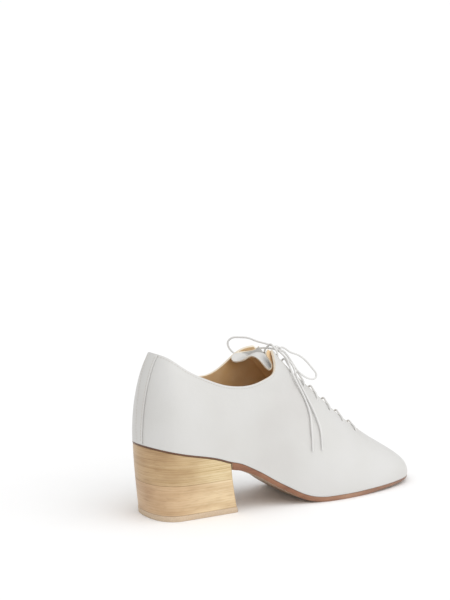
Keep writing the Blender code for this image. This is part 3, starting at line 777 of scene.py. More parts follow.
def strip_place(share, height):
    """The share round and up of a place on the strip, from one edge to the other and up it."""
    t = top_edge(0.5) * height
    ends = last_point(0.5 + GIRTH_SHARE, t), last_point(0.5 - GIRTH_SHARE, t)
    girth = np.linalg.norm(ends[0] - ends[1])
    q = 0.5 + (share - 0.5) * strip_width(height) * 2 * GIRTH_SHARE / girth
    return q, top_edge(q) * (STRIP_SHORT + (1 - 2 * STRIP_SHORT) * height)


def make_back_strip():
    def place(column, row):
        return on_last(*strip_place(column / STRIP_COLUMNS, row / STRIP_ROWS), CLEARANCE / 2)

    mesh = sheet(STRIP_COLUMNS, STRIP_ROWS, place)
    face_outwards(mesh, LAST_MIDDLE)
    made = add_piece("back_strip_leather", mesh, (CALF,), "white_calf")
    thicken(made, STRIP_THICKNESS, 1, rounded=0.25 * MM)
    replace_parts(made, "back_strip")
    over = CLEARANCE / 2 + STRIP_THICKNESS + STRIP_PROUD
    lines = []
    for side in (0, 1):
        line = []
        for height in np.linspace(0.03, 0.97, 60):
            q, t = strip_place(abs(side - STRIP_MARGIN / strip_width(height)), height)
            line.append((on_last(q, t, over), last_normal(q, t)))
        lines.append(line)
    make_stitches("strip_stitches", lines)


make_back_strip()

# Tongue. A sheet of calf 1.2 mm thick, lined in tan, sewn under both facings and folded in an M
# so that it opens like a bellows. Its top edge is cut raw.
TONGUE_WALL = 1.2 * MM
TONGUE_LOOSE = 0.45
TONGUE_EASE = 1.3
TONGUE_SHORT = 1 * MM
ROOT_SPREAD = 0.08
ROOT_FOOT = 0.84
ROOT_CELLS = 16
ROOT_DEPTH = 3.1 * MM
LAYER_GAP = 0.5 * MM
TONGUE_ROWS = 14
TONGUE_FINER = 4

# Folds of the tongue, from the medial facing to the lateral one. along, across and height place
# the top edge, as shares of LENGTH, BALL_WIDTH and INSTEP_HEIGHT. low_across is where the fold
# ends at the throat's end, and layer 2 lies against the facing, with layer 3 under it.
FOLDS = (
    (0.4590, 0.098, 0.949, 0.038, 2.2),
    (0.4456, 0.126, 0.926, 0.056, 2.2),
    (0.4264, 0.152, 0.919, 0.076, 2.1),
    (0.4001, 0.170, 0.914, 0.094, 2.0),
    (0.3808, 0.175, 0.905, 0.115, 2.0),
    (0.3688, 0.154, 0.883, 0.124, 2.5),
    (0.3726, 0.121, 0.866, 0.115, 3.0),
    (0.3848, 0.080, 0.871, 0.085, 3.0),
    (0.3939, 0.040, 0.886, 0.045, 3.0),
    (0.4059, 0.000, 0.906, 0.000, 3.0),
    (0.4153, -0.074, 0.893, -0.045, 3.0),
    (0.4235, -0.136, 0.856, -0.085, 3.0),
    (0.4317, -0.164, 0.835, -0.115, 3.0),
    (0.4397, -0.178, 0.844, -0.124, 2.5),
    (0.4414, -0.170, 0.868, -0.115, 2.0),
    (0.4349, -0.151, 0.901, -0.095, 2.0),
    (0.4294, -0.136, 0.932, -0.070, 2.0),
    (0.4412, -0.116, 0.953, -0.045, 2.0),
)


def layer_depth(layer):
    """Depth of a tongue layer's middle under the last's surface."""
    second = WALL + 4 * CLEARANCE + TONGUE_WALL / 2
    return second + (layer - 2) * (TONGUE_WALL + LAYER_GAP)


def tongue_point(column, row):
    end = THROAT_END - TONGUE_SHORT
    along, across, height, low_across, layer = FOLDS[column]
    top = np.array((along * LENGTH, across * BALL_WIDTH, height * INSTEP_HEIGHT))
    down = (row / TONGUE_ROWS) ** TONGUE_EASE
    flat_across = low_across + (across - low_across) * (1 - down) ** 2
    depth = layer_depth(layer)
    flat = across_last(top[0] + (end - top[0]) * down, flat_across * BALL_WIDTH, -depth)
    loose = max(0, 1 - down / TONGUE_LOOSE) ** 2
    start = across_last(top[0], across * BALL_WIDTH, -depth)
    return flat + (top - start) * loose


def finer(grid, times):
    """A grid of points with smooth curves run through its rows and its columns."""
    for _ in range(2):
        knots = np.arange(len(grid))
        curve = Curve(knots, grid.reshape(len(grid), -1))
        fine = [curve(at) for at in np.linspace(0, knots[-1], knots[-1] * times + 1)]
        grid = np.array(fine).reshape(-1, *grid.shape[1:]).swapaxes(0, 1)
    return grid


def make_tongue():
    coarse = [[tongue_point(c, r) for r in range(TONGUE_ROWS + 1)] for c in range(len(FOLDS))]
    grid = finer(np.array(coarse), TONGUE_FINER)
    mesh = sheet(grid.shape[0] - 1, grid.shape[1] - 1, lambda column, row: grid[column, row])
    face_outwards(mesh, LAST_MIDDLE)
    made = add_piece("tongue_leather", mesh, (CALF, LINING, EDGE_PAINT), "white_calf")
    thicken(made, TONGUE_WALL, 0, lining=1, rim=2, even=False, rounded=0.2 * MM)
    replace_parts(made, "tongue")


def make_tongue_root():
    """The tongue's root, which is sewn down under the vamp, past the throat's end."""
    drop = np.array((0, 0, ROOT_DEPTH))

    def place(column, row):
        q = (column / ROOT_CELLS - 0.5) * ROOT_SPREAD
        return last_point(q, ROOT_FOOT + (1 - ROOT_FOOT) * row / ROOT_CELLS) - drop

    mesh = sheet(ROOT_CELLS, ROOT_CELLS, place)
    face_outwards(mesh, LAST_MIDDLE)
    made = add_piece("tongue_root_leather", mesh, (CALF, LINING), "white_calf")
    thicken(made, STRIP_THICKNESS, -1, lining=1, even=False)


make_tongue()
make_tongue_root()

# Insole. A board of leather that the foot stands on, covered in the lining's tan calf and glued
# down inside the upper.
INSOLE_THICKNESS = 2.4 * MM
INSOLE_INSET = 2.6 * MM
INSOLE_COLUMNS = 110
INSOLE_ACROSS = 26
INSOLE_PAD = 0.7 * MM


def inset_outline(q, inset):
    """The feather edge in plan, moved inwards."""
    along = outline(q + SHARE_STEP) - outline(q - SHARE_STEP)
    inwards = np.array((along[1], -along[0])) / np.linalg.norm(along)
    middle = np.array((np.clip(outline(q)[0], 0.1 * LENGTH, 0.9 * LENGTH), 0))
    if np.dot(inwards, middle - outline(q)) < 0:
        inwards = -inwards
    return outline(q) + inwards * inset


def between(q, inset, share):
    """A point of the plan between the two edges that face each other at a share round."""
    ends = inset_outline(q, inset), inset_outline(1 - q, inset)
    return ends[0] * (1 - share) + ends[1] * share


def close_ends(mesh):
    """Closes the open ends of a ring of faces, with its seam merged and its faces turned out."""
    bmesh.ops.remove_doubles(mesh, verts=mesh.verts, dist=MERGE)
    edges = [edge for edge in mesh.edges if edge.is_boundary]
    bmesh.ops.holes_fill(mesh, edges=edges, sides=0)
    bmesh.ops.recalc_face_normals(mesh, faces=mesh.faces)
    return mesh


def make_insole():
    ring = [*[(k / INSOLE_ACROSS, 1) for k in range(INSOLE_ACROSS + 1)], (1, 0), (0, 0), (0, 1)]
    shares = np.linspace(0, 0.5, INSOLE_COLUMNS + 1)

    def place(column, row):
        share, top = ring[row]
        x, y = between(shares[column], INSOLE_INSET, share)
        soft = INSOLE_PAD * (1 - (2 * share - 1) ** 8) - INSOLE_PAD
        height = feather_height(x, across_share(x, y))
        return x, y, height + top * (INSOLE_THICKNESS + soft)

    mesh = close_ends(sheet(INSOLE_COLUMNS, len(ring) - 1, place))
    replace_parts(add_piece("insole_cover", mesh, (LINING,), "tan_lining"), "insole")


make_insole()

# Outsole. One piece of oak-bark leather, 3.7 mm thick at its edge and pared thin at the toe and
# over the heel. Its edge is trimmed, stained red-brown and burnished; its tread is lighter.
TOE_EDGE = 1.8 * MM
SEAT_EDGE = 0.9 * MM
BREAST_EDGE = 1.8 * MM
BREAST_SPREAD = 14 * MM
WAIST_CROWN = 1.5 * MM
TREAD_INSET = 1.2 * MM
HEEL_LENGTH = 61 * MM
SEAT_INSET = 0.3 * MM
SOLE_ACROSS = 24
SOLE_COLUMNS = 150
SEAT_COLUMNS = 30


def sole_look(name, dark, middle, pale, shine, darkening=()):
    """Vegetable-tanned sole leather: close fibres along the cut, darker in clouds."""
    look = new_look(name, middle, shine)
    place = in_millimetres(look, (1, 1, 2.5))
    cloud = add_node(look, "TexNoise", {"Scale": 0.06, "Detail": 5.0}, Vector=place.outputs[0])
    fibre = add_node(look, "TexNoise", {"Scale": 1.1, "Detail": 3.0}, Vector=place.outputs[0])
    stops = ((0.3, dark), (0.5, middle), (0.72, pale))
    colour = add_node(look, "ValToRGB", {"stops": stops}, Fac=cloud.outputs["Fac"])
    raised = {"Strength": 0.12, "Distance": 0.15 * MM}
    bump = add_node(look, "Bump", raised, Height=fibre.outputs["Fac"])
    if darkening:
        parts = add_node(look, "SeparateXYZ", {}, Vector=place.outputs[0])
        reach = {"From Min": -LENGTH / 2 / MM, "From Max": LENGTH / 2 / MM}
        along = add_node(look, "MapRange", reach, Value=parts.outputs["X"])
        tint = add_node(look, "ValToRGB", {"stops": darkening}, Fac=along.outputs["Result"])
        mixed = {"blend_type": "MULTIPLY", "Fac": 1.0}
        colour = add_node(look, "MixRGB", mixed, Color1=colour.outputs[0], Color2=tint.outputs[0])
    return finish_look(look, colour, None, bump)


# Shares of the shoe's length from the heel, with how far the edge's colour is darkened there: most
# along the heel seat and at the toe, not at all across the ball.
EDGE_DARKENING = (
    (0.0, "#B0A090"),
    (0.25, "#B0A090"),
    (0.26, "#DCC4B0"),
    (0.5, "#E4D2C4"),
    (0.7, "#FFFFFF"),
    (0.86, "#E6E0DC"),
    (1.0, "#A39C98"),
)
SOLE_STAIN = sole_look("burnished_sole_edge", "#8C6650", "#A27A62", "#B08A70", 0.36, EDGE_DARKENING)
SOLE_TREAD = sole_look("oak_bark_sole", "#A08670", "#B39A84", "#C0A993", 0.55)


def sole_edge(x):
    """Thickness of the sole's edge: thin under the heel seat, and pared towards the toe."""
    if x < HEEL_LENGTH + CLEARANCE:
        return SEAT_EDGE
    pared = np.clip((x - SPRING_START) / (LENGTH - SPRING_START), 0, 1)
    breast = math.exp(-(((x - HEEL_LENGTH) / BREAST_SPREAD) ** 2))
    return SOLE_EDGE + (TOE_EDGE - SOLE_EDGE) * pared + BREAST_EDGE * breast


def sole_underside(x, y):
    """Height under the sole. The waist is crowned."""
    inner = across_share(x, y)
    edge = feather_height(x, inner) - CLEARANCE - sole_edge(x)
    if x < HEEL_LENGTH + CLEARANCE:
        return edge
    crown = WAIST_CROWN * (1 - math.exp(-max(0, edge) / WAIST_CROWN))
    if x > SPRING_START:
        crown = 0
    return max(0, edge - crown * 4 * inner * (1 - inner))


def share_at(x):
    """The share round on the outer side at which the outline reaches x."""
    return sum(narrowed(0.0, 0.5, lambda q: outline(q)[0] <= x, 40)) / 2


def make_outsole():
    top = [(k / SOLE_ACROSS, 1, 0) for k in range(SOLE_ACROSS + 1)]
    side = [(1, 0.9, 0.0), (1, 0.5, 0.12), (1, 0.18, 0.55)]
    tread = [(k / SOLE_ACROSS, 0, 1) for k in range(SOLE_ACROSS, -1, -1)]
    other = [(0, height, inset) for _, height, inset in side[::-1]]
    ring = [*top, *side, *tread, *other, top[0]]
    edge_rows = set(range(len(top) - 1, len(top) + len(side)))
    edge_rows |= set(range(len(ring) - len(side) - 2, len(ring)))
    step = HEEL_LENGTH + 1.2 * MM
    seat = share_at(HEEL_LENGTH + CLEARANCE * 0.9)
    shares = np.concatenate([
        np.linspace(0, share_at(step), SOLE_COLUMNS),
        np.linspace(seat, 0.5, SEAT_COLUMNS),
    ])

    def place(column, row):
        share, level, inset = ring[row]
        q = shares[column]
        full = TREAD_INSET if outline(q)[0] > HEEL_LENGTH + CLEARANCE else SEAT_INSET
        x, y = between(q, inset * full, share)
        over = feather_height(x, across_share(x, y)) - CLEARANCE
        under = sole_underside(*between(q, full, share))
        return x, y, under + (over - under) * level

    def zone(column, row):
        return 0 if row in edge_rows else 1

    mesh = close_ends(sheet(len(shares) - 1, len(ring) - 1, place, zone))
    made = add_piece("outsole_leather", mesh, (SOLE_STAIN, SOLE_TREAD), "sole_leather")
    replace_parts(made, "outsole")


make_outsole()

# Heel. Two blocks of plane-grained wood glued one on the other, turned to the seat above and to a
# squarer foot below, sanded and sealed with a thin satin lacquer. The glue line shows.
HEEL_FRONT_COLUMNS = 120
HEEL_ROWS = 30
TIP_BACK = 5.6 * MM
TIP_FRONT = HEEL_LENGTH + 7.5 * MM
TIP_WIDTH = 53.6 * MM
TIP_ROUND = 18 * MM
TIP_SKEW = 0.1
TIP_PROUD = 0.3 * MM
TIP_SQUARE = 2.4
HEEL_FLARE = 1.4
BREAST_ROUND = 1.2 * MM
BLOCK_BEVEL = 0.15 * MM
HEEL_LEVELS = (0.006, *np.linspace(0.03, 0.97, HEEL_ROWS), 0.994)
LIFT_THICKNESS = 4.2 * MM
GLUE_LINE_HEIGHT = 26.2 * MM


def wood_look(name, dark, middle, pale, pitch):
    """Sealed hardwood, quarter sawn: fine level growth lines, cloudy figure, a satin lacquer and
    painted shade over the heel's back.
    """
    look = new_look(name, middle, 0.40, Coat_Weight=0.15, Coat_Roughness=0.22)
    lines = in_millimetres(look, (0.007, 0.007, 1), (math.radians(0.2), math.radians(-0.2), 0))
    fine = {"Scale": 1 / pitch, "Detail": 4.0, "Roughness": 0.7}
    line = add_node(look, "TexNoise", fine, Vector=lines.outputs[0])
    broad = in_millimetres(look, (0.35, 0.35, 1))
    figure = add_node(look, "TexNoise", {"Scale": 0.075, "Detail": 3.0}, Vector=broad.outputs[0])
    streak = in_millimetres(look, (0.12, 0.12, 1))
    short = {"Scale": 0.9, "Detail": 2.0}
    ray = add_node(look, "TexNoise", short, Vector=streak.outputs[0])
    stops = ((0.30, dark), (0.47, middle), (0.62, pale))
    colour = add_node(look, "ValToRGB", {"stops": stops}, Fac=line.outputs["Fac"])
    shade = ((0.34, "#CDBBA6"), (0.56, "#FFFFFF"))
    cloud = add_node(look, "ValToRGB", {"stops": shade}, Fac=figure.outputs["Fac"])
    mixed = {"blend_type": "MULTIPLY", "Fac": 0.6}
    both = add_node(look, "MixRGB", mixed, Color1=colour.outputs[0], Color2=cloud.outputs[0])
    pores = ((0.34, "#B59A6C"), (0.43, "#FFFFFF"))
    pore = add_node(look, "ValToRGB", {"stops": pores}, Fac=ray.outputs["Fac"])
    mixed = {"blend_type": "MULTIPLY", "Fac": 0.18}
    grain = add_node(look, "MixRGB", mixed, Color1=both.outputs[0], Color2=pore.outputs[0])
    # Painted shade: the back of the heel is tinted darker and pinker, fading out over its first 45
    # mm.
    parts = add_node(look, "SeparateXYZ", {}, Vector=in_millimetres(look).outputs[0])
    reach = {"From Min": -120.0, "From Max": -75.0}
    back = add_node(look, "MapRange", reach, Value=parts.outputs["X"])
    painted_back_shade = ((0.0, "#DFCFC6"), (1.0, "#FFFFFF"))
    tint = add_node(look, "ValToRGB", {"stops": painted_back_shade}, Fac=back.outputs["Result"])
    mixed = {"blend_type": "MULTIPLY", "Fac": 1.0}
    grain = add_node(look, "MixRGB", mixed, Color1=grain.outputs[0], Color2=tint.outputs[0])
    raised = {"Strength": 0.06, "Distance": 0.1 * MM}
    bump = add_node(look, "Bump", raised, Height=line.outputs["Fac"])
    return finish_look(look, grain, None, bump)


UPPER_WOOD = wood_look("olive_hardwood", "#B0945F", "#D3BA8C", "#DFCBA2", 0.45)
LOWER_WOOD = wood_look("pale_hardwood", "#D2B78D", "#DFC59C", "#E7D1AC", 0.7)
ROUND_END = 0.107 * LENGTH
ROUND_HALF = abs(outline(share_at(ROUND_END))[1])


def tip_point(q, grown):
    """The heel's outline at the floor: a squarer U than the seat above it."""
    x, y = outline(q)
    side = LATERAL if y < 0 else MEDIAL
    if x < ROUND_END:
        turn = math.asin(min(1, abs(y) / ROUND_HALF))
        back = TIP_ROUND * (1 - math.cos(turn) ** (2 / TIP_SQUARE))
        out = math.sin(turn) ** (2 / TIP_SQUARE)
    else:
        straight = TIP_FRONT - TIP_BACK - TIP_ROUND
        back = TIP_ROUND + straight * (x - ROUND_END) / (HEEL_LENGTH - ROUND_END)
        out = 1
    forward = back / (TIP_FRONT - TIP_BACK)
    across = side * out * (TIP_WIDTH / 2 + grown)
    skew = TIP_SKEW * across * (1 - forward)
    return np.array((TIP_BACK + back + skew + (2 * forward - 1) * grown, across))


def seat_underside(x, y):
    return feather_height(x, across_share(x, y)) - SEAT_EDGE - 2 * CLEARANCE


HEEL_SIDE = share_at(HEEL_LENGTH)
HEEL_SHARES = np.linspace(HEEL_SIDE, 1 - HEEL_SIDE, HEEL_FRONT_COLUMNS + 1)
HEEL_SEATS = [inset_outline(q, SEAT_INSET) for q in HEEL_SHARES]
HEEL_CEILINGS = [seat_underside(*seat) for seat in HEEL_SEATS]


def heel_ring(low, share, grown=0.0, top=None, inset=0.0):
    """A ring round the heel, a share of the way from a low plane to the seat or a top plane."""
    ring = []
    tips = [tip_point(q, grown) for q in HEEL_SHARES]
    for seat, ceiling, tip in zip(HEEL_SEATS, HEEL_CEILINGS, tips):
        z = low + ((ceiling if top is None else top) - low) * share
        spread = (1 - min(1, z / ceiling)) ** HEEL_FLARE
        x, y = seat + (tip - seat) * spread
        ring.append((x, y, z))
    ring[0] = np.array(ring[0]) + (-BREAST_ROUND, 0, 0)
    ring[-1] = np.array(ring[-1]) + (-BREAST_ROUND, 0, 0)
    lateral = ring[0] + np.array((BREAST_ROUND, BREAST_ROUND, 0))
    medial = ring[-1] + np.array((BREAST_ROUND, -BREAST_ROUND, 0))
    ring = np.array([lateral, *ring, medial])
    middle = ring.mean(axis=0) * (1, 1, 0) + (0, 0, 1) * ring
    return ring + (middle - ring) * inset / (TIP_WIDTH / 2)


def add_cap(mesh, ring):
    """Closes a ring with faces between its left and right halves."""
    count = len(ring)
    corners = [mesh.verts.new(in_frame(point)) for point in ring]
    for k in range((count - 1) // 2):
        face = corners[k], corners[k + 1], corners[count - 2 - k], corners[count - 1 - k]
        mesh.faces.new(list(dict.fromkeys(face)))


def loft(rings):
    """A closed solid through rings of points, with a cap at each end."""
    around = len(rings[0])
    mesh = sheet(around, len(rings) - 1, lambda column, row: rings[row][column % around])
    add_cap(mesh, rings[0])
    add_cap(mesh, rings[-1])
    bmesh.ops.remove_doubles(mesh, verts=mesh.verts, dist=MERGE)
    bmesh.ops.recalc_face_normals(mesh, faces=mesh.faces)
    return mesh


def make_heel():
    foot = LIFT_THICKNESS + CLEARANCE / 3
    glue = CLEARANCE / 3
    for name, look, low, top, slot in (
        ("heel_lower_block", LOWER_WOOD, foot, GLUE_LINE_HEIGHT, "lower_wood"),
        ("heel_upper_block", UPPER_WOOD, GLUE_LINE_HEIGHT + glue, None, "upper_wood"),
    ):
        rings = [heel_ring(low, 0, top=top, inset=BLOCK_BEVEL)]
        rings += [heel_ring(low, share, top=top) for share in HEEL_LEVELS]
        rings.append(heel_ring(low, 1, top=top, inset=BLOCK_BEVEL))
        made = add_piece(name.replace("block", "wood"), loft(rings), (look,), slot)
        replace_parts(made, name)


make_heel()

# Top lift. A layer of tan rubber compound glued under the heel and ground nearly flush with the
# wood. Its edges are broken, and its tread is plain. Each ring has a height and what its edge lost.
LIFT_RINGS = (
    (0, 0.5 * MM),
    (0.2 * MM, 0.15 * MM),
    (0.6 * MM, 0),
    (LIFT_THICKNESS - 0.3 * MM, 0),
    (LIFT_THICKNESS, 0.25 * MM),
)


def rubber_look():
    """Filled rubber, moulded and ground: tan, matt, with a fine even grit."""
    look = new_look("tan_lift_rubber", "#CBB59A", 0.68)
    place = in_millimetres(look)
    grit = add_node(look, "TexNoise", {"Scale": 1.4, "Detail": 3.0}, Vector=place.outputs[0])
    stops = ((0.3, "#C2AB8F"), (0.7, "#D2BDA4"))
    colour = add_node(look, "ValToRGB", {"stops": stops}, Fac=grit.outputs["Fac"])
    raised = {"Strength": 0.25, "Distance": 0.2 * MM}
    bump = add_node(look, "Bump", raised, Height=grit.outputs["Fac"])
    return finish_look(look, colour, None, bump)


def make_top_lift():
    rings = [heel_ring(height, 0, TIP_PROUD - lost) for height, lost in LIFT_RINGS]
    made = add_piece("top_lift_rubber", loft(rings), (rubber_look(),), "lift_rubber")
    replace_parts(made, "top_lift")


make_top_lift()

# Lace. A round braided cotton lace 1.5 mm thick. Its bars cross the throat from eyelet to eyelet,
# and the bow is tied over the last two of them.
LACE_DIAMETER = 1.5 * MM
LACE_SIDES = 14
LACE_PROUD = 0.1 * MM
LACE_SAMPLES = 400
BAR_STEP = 0.6 * MM

# A bar's places across the throat, and how its ends dip into the eyelets, across and up, in mm.
BAR_ACROSS = (-7.4, -5.5, -3, 0, 3, 5.5, 7.4)
BAR_DIP = ((8.7, -1.6), (8.5, 0))


def lace_look():
    """Braided cotton, bleached: matt, its strands crossing six times round and every 1.4 mm, with
    painted shade greying the grooves between them.
    """
    look = new_look("braided_cotton", "#EDEBE8", 0.8, Sheen_Weight=0.2)
    place = add_node(look, "TexCoord", {})
    strands = []
    for lean in (1, -1):
        scale = {"Scale": (3.77, lean * 0.449, 1)}
        lay = add_node(look, "Mapping", scale, Vector=place.outputs["UV"])
        bands = {"Scale": 1.0, "bands_direction": "DIAGONAL", "wave_profile": "SIN"}
        strands.append(add_node(look, "TexWave", bands, Vector=lay.outputs[0]).outputs["Fac"])
    weave = add_node(look, "Math", {"operation": "MAXIMUM"})
    for socket, strand in zip(weave.inputs, strands):
        look.node_tree.links.new(strand, socket)
    # Painted shade: where the weave is low, between the strands, the cotton is painted greyer.
    stops = ((0.35, "#DCDBD9"), (0.85, "#F6F6F5"))
    colour = add_node(look, "ValToRGB", {"stops": stops}, Fac=weave.outputs[0])
    raised = {"Strength": 0.4, "Distance": 0.15 * MM}
    bump = add_node(look, "Bump", raised, Height=weave.outputs[0])
    return finish_look(look, colour, None, bump)


LACE_LOOK = lace_look()


def spaced(route, step):
    """Points at even steps along a smooth curve through a route."""
    knots = run_along(np.array(route))
    curve = Curve(knots, route)
    fine = np.array([curve(at) for at in np.linspace(0, knots[-1], LACE_SAMPLES)])
    run = run_along(fine)
    places = np.linspace(0, run[-1], max(2, round(run[-1] / step)) + 1)
    return np.array([on_line(at, run, fine) for at in places])


def braid(mesh, route, thickness):
    """Adds a round lace along a route; its UV map runs round it and along it in millimetres."""
    route = [Vector(point) for point in route]
    out = Vector((0, 0, 1))
    rings = []
    for k, point in enumerate(route):
        along = (route[min(k + 1, len(route) - 1)] - route[max(k - 1, 0)]).normalized()
        out = (out - along * out.dot(along)).normalized()
        side = along.cross(out)
        radius = thickness(k / (len(route) - 1)) / 2
        turns = np.linspace(0, 2 * math.pi, LACE_SIDES + 1)
        rings.append([point + (out * math.cos(a) + side * math.sin(a)) * radius for a in turns])
    piece = sheet(LACE_SIDES, len(route) - 1, lambda column, row: rings[row][column])
    length = sum((b - a).length for a, b in zip(route, route[1:])) / MM
    uv = piece.loops.layers.uv.verify()
    for face in piece.faces:
        for corner in face.loops:
            corner[uv].uv.y *= length
    close_ends(piece)
    data = bpy.data.meshes.new("braid")
    piece.to_mesh(data)
    piece.free()
    mesh.from_mesh(data)
    bpy.data.meshes.remove(data)


def lace_piece(name, routes, thickness=lambda share: LACE_DIAMETER):
    mesh = bmesh.new()
    for route in routes:
        braid(mesh, route, thickness)
    return add_piece(name, mesh, (LACE_LOOK,), "lace_cotton", crease=75)


def straight_across(x, across, height):
    return on_last(*found_straight(x, across, height), height)


def make_bars():
    lift = LACE_DIAMETER / 2 + LACE_PROUD
    for number, x in enumerate(EYELET_LINES):
        route = [straight_across(x, across * MM, lift) for across in BAR_ACROSS]
        ends = [
            [straight_across(x, side * across * MM, up * MM) for across, up in BAR_DIP]
            for side in (LATERAL, MEDIAL)
        ]
        route = spaced([*ends[0], *route, *ends[1][::-1]], BAR_STEP)
        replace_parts(lace_piece(f"lace_crossing_{number + 1}", [route]), f"lace_bar_{number + 1}")


make_bars()

# Eyelets. Seven pairs of plain holes punched through the facings, drawn as thin discs on the
# leather in dark grey: painted shade of the holes.
EYELET_RADIUS = 1.25 * MM
EYELET_TAPER = 0.9
EYELET_DEPTH = 0.12 * MM
EYELET_PROUD = 0.03 * MM


def hole_look():
    """A punched hole's inside as a thin disc in dark grey: painted shade, faintly mottled, matt."""
    look = new_look("painted_hole_shade", "#77716B", 0.9)
    place = in_millimetres(look)
    fibre = add_node(look, "TexNoise", {"Scale": 3.0, "Detail": 2.0}, Vector=place.outputs[0])
    stops = ((0.3, "#6A645E"), (0.7, "#857F78"))
    return finish_look(look, add_node(look, "ValToRGB", {"stops": stops}, Fac=fibre.outputs["Fac"]))


def make_eyelets():
    mesh = bmesh.new()
    for q, t in EYELETS:
        normal = Vector(last_normal(q, t))
        turned = normal.to_track_quat("Z", "Y").to_matrix().to_4x4()
        seat = Matrix.Translation(in_frame(upper_point(q, t, EYELET_PROUD))) @ turned
        bmesh.ops.create_cone(
            mesh,
            cap_ends=True,
            cap_tris=False,
            segments=20,
            radius1=EYELET_RADIUS,
            radius2=EYELET_RADIUS * EYELET_TAPER,
            depth=EYELET_DEPTH,
            matrix=seat,
        )
    add_piece("eyelet_holes", mesh, (hole_look(),), "white_calf")


make_eyelets()

# Bow. A knot between the last two bars, one loop to each side, and two loose ends that lie down
# over the outer side. The length of each part is the one in the photograph.
KNOT_AT = 0.4992 * LENGTH
KNOT_HALF = (2.2 * MM, 2.8 * MM, 1.8 * MM)
LOOP_STEP = 0.8 * MM
BAND_ALONG = 0.8
BAND_OVER = 0.75
BAND_ASIDE = 0.2 * MM
TIP_FROM = 0.86
TIP_TAPER = 0.03
TIP_THINNER = 0.28

# Routes of the bow's loops: along, across and height are shares of LENGTH, BALL_WIDTH and
# INSTEP_HEIGHT.
MEDIAL_LOOP = (
    (0.5025, 0.050, 0.9450),
    (0.4850, 0.095, 0.9600),
    (0.4670, 0.173, 0.9725),
    (0.4541, 0.247, 0.9867),
    (0.4364, 0.333, 0.9867),
    (0.4244, 0.383, 0.9800),
    (0.4145, 0.407, 0.9542),
    (0.4186, 0.395, 0.9108),
    (0.4318, 0.346, 0.8792),
    (0.4545, 0.265, 0.8830),
    (0.4793, 0.165, 0.9250),
    (0.5008, 0.068, 0.9280),
)
LATERAL_LOOP = (
    (0.5157, -0.032, 0.9425),
    (0.5330, -0.062, 0.9190),
    (0.5595, -0.099, 0.8933),
    (0.5843, -0.130, 0.8517),
    (0.6079, -0.154, 0.7917),
    (0.6140, -0.167, 0.7667),
    (0.6095, -0.173, 0.7442),
    (0.5917, -0.173, 0.7408),
    (0.5727, -0.167, 0.7567),
    (0.5537, -0.148, 0.7883),
    (0.5384, -0.080, 0.8580),
    (0.5265, -0.045, 0.9030),
    (0.5175, -0.038, 0.9200),
)

# Routes of the lace's ends over the outer side: ridge is where the section meets the ridge, as
# a share of LENGTH, across a share of BALL_WIDTH, and lift a height over the upper in mm.
REAR_END = (
    (0.5060, -0.092, 3.20),
    (0.5120, -0.130, 2.70),
    (0.5230, -0.180, 1.60),
    (0.5423, -0.235, 1.15),
    (0.5498, -0.280, 1.15),
    (0.5513, -0.326, 1.15),
    (0.5470, -0.361, 1.15),
    (0.5416, -0.398, 1.15),
    (0.5351, -0.435, 1.15),
)
FRONT_END = (
    (0.5285, -0.112, 3.40),
    (0.5347, -0.152, 2.30),
    (0.5520, -0.210, 1.25),
    (0.5616, -0.249, 1.15),
    (0.5701, -0.288, 1.15),
    (0.5771, -0.337, 1.15),
    (0.5790, -0.364, 1.15),
    (0.5754, -0.399, 1.15),
    (0.5699, -0.436, 1.15),
)
REAR_END_START = (0.5066, -0.054, 0.9117)
FRONT_END_START = (0.5182, -0.074, 0.8850)


def knot_frame():
    """The knot's middle, and its directions down the ridge and out of it."""
    slope = (ridge_height(KNOT_AT + MM) - ridge_height(KNOT_AT - MM)) / (2 * MM)
    down = np.array((1, 0, slope)) / math.hypot(1, slope)
    out = np.array((-down[2], 0, down[0]))
    foot = np.array((KNOT_AT, 0, ridge_height(KNOT_AT)))
    return foot + out * (KNOT_HALF[2] + 2 * CLEARANCE), down, out


def make_knot():
    """The knot: one turn of the lace pulled tight over the crossing of the others."""
    middle, down, out = knot_frame()
    half = np.array(KNOT_HALF) - LACE_DIAMETER / 2
    route = []
    for turn in np.linspace(0, 2 * math.pi, 73):
        across = (math.sin(turn) + 2 * math.sin(2 * turn)) / 2.2
        along = (math.cos(turn) - 2 * math.cos(2 * turn)) / 2.4
        over = -1.1 * math.sin(3 * turn)
        aside = np.array((0, across * half[1], 0))
        route.append(middle + down * along * half[0] + out * over * half[2] + aside)
    band = []
    for turn in np.linspace(-0.2 * math.pi, 1.2 * math.pi, 25):
        along = down * math.cos(turn) * KNOT_HALF[0] * BAND_ALONG
        over = out * math.sin(turn) * KNOT_HALF[2] * BAND_OVER
        band.append(middle + along + over + np.array((0, BAND_ASIDE, 0)))
    made = lace_piece("bow_knot", [route, band])
    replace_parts(made, "lace_knot")
    return made


def free_point(shares):
    return np.array(shares) * (LENGTH, BALL_WIDTH, INSTEP_HEIGHT)


def tipped(share):
    """The lace's thickness along a loose end: its last part is waxed and drawn thin."""
    drawn = float(np.clip((share - TIP_FROM) / TIP_TAPER, 0, 1))
    return LACE_DIAMETER * (1 - TIP_THINNER * drawn)


def in_knot(across, along, over):
    """A point in the knot, in mm from its middle."""
    middle, down, out = knot_frame()
    return middle + (np.array((0, across, 0)) + down * along + out * over) * MM


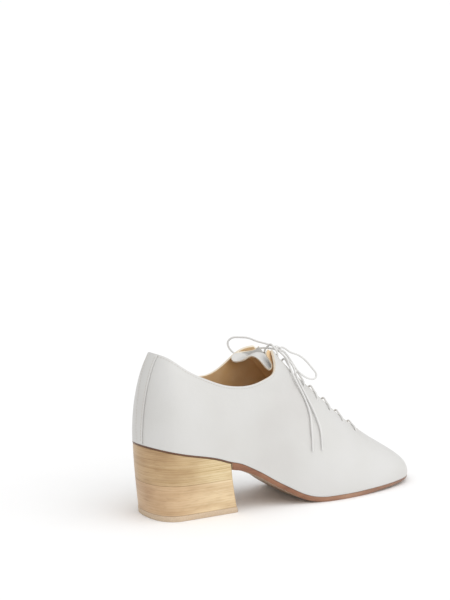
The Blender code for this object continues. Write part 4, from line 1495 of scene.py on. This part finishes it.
def make_bow():
    knot = make_knot()
    for side, table, way in (("inner", MEDIAL_LOOP, 1), ("outer", LATERAL_LOOP, -1)):
        tied = in_knot(way * 1.2, 0.2, 0.9), in_knot(way * 1.2, -0.2, -0.9)
        route = spaced([tied[0], *[free_point(row) for row in table], tied[1]], LOOP_STEP)
        made = lace_piece(f"bow_loop_{side}", [route])
        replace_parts(made, f"lace_loop_{side}")
        path = [in_frame(point) for point in route]
    for side, at, start, table in (
        ("rear", 0.6, REAR_END_START, REAR_END),
        ("front", 1.4, FRONT_END_START, FRONT_END),
    ):
        hung = [
            across_last(ridge * LENGTH, across * BALL_WIDTH, lift * MM)
            for ridge, across, lift in table
        ]
        route = spaced([in_knot(-1.0, at, -0.3), free_point(start), *hung], LOOP_STEP)
        made = lace_piece(f"bow_end_{side}", [route], tipped)
        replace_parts(made, f"lace_end_{side}")
        path = [in_frame(point) for point in route]


make_bow()

# Setting. A plain pale floor under one broad soft light, with an even white surround.
FLOOR_SIZE = 60
LIGHT_FROM = (0.16, -0.62, 0.9)
LIGHT_STRENGTH = 1.5
LIGHT_BREADTH = math.radians(90)
SURROUND_STRENGTH = 0.70


def make_floor():
    look = new_look("matt_white_paper", "#F2F2F2", 0.9)
    place = in_millimetres(look)
    tooth = add_node(look, "TexNoise", {"Scale": 0.02, "Detail": 2.0}, Vector=place.outputs[0])
    stops = ((0.3, "#FAFAFA"), (0.7, "#FBFBFB"))
    finish_look(look, add_node(look, "ValToRGB", {"stops": stops}, Fac=tooth.outputs["Fac"]))
    mesh = bmesh.new()
    bmesh.ops.create_grid(mesh, x_segments=2, y_segments=2, size=FLOOR_SIZE / 2)
    data = bpy.data.meshes.new("floor")
    mesh.to_mesh(data)
    mesh.free()
    data.materials.append(look)
    made = bpy.data.objects.new("floor", data)
    bpy.context.collection.objects.link(made)


def make_sun():
    """A broad soft light from above the camera's right, as even over the floor as over the shoe."""
    data = bpy.data.lights.new("broad_light", "SUN")
    data.energy = LIGHT_STRENGTH
    data.angle = LIGHT_BREADTH
    made = bpy.data.objects.new("broad_light", data)
    bpy.context.collection.objects.link(made)
    made.rotation_euler = Vector(LIGHT_FROM).to_track_quat("Z", "Y").to_euler()


def make_surround():
    world = bpy.data.worlds.new("surround")
    world.use_nodes = True
    back = world.node_tree.nodes["Background"]
    back.inputs["Color"].default_value = (1, 1, 1, 1)
    back.inputs["Strength"].default_value = SURROUND_STRENGTH
    bpy.context.scene.world = world
    bpy.context.scene.view_settings.view_transform = "Standard"


make_floor()
make_sun()
make_surround()
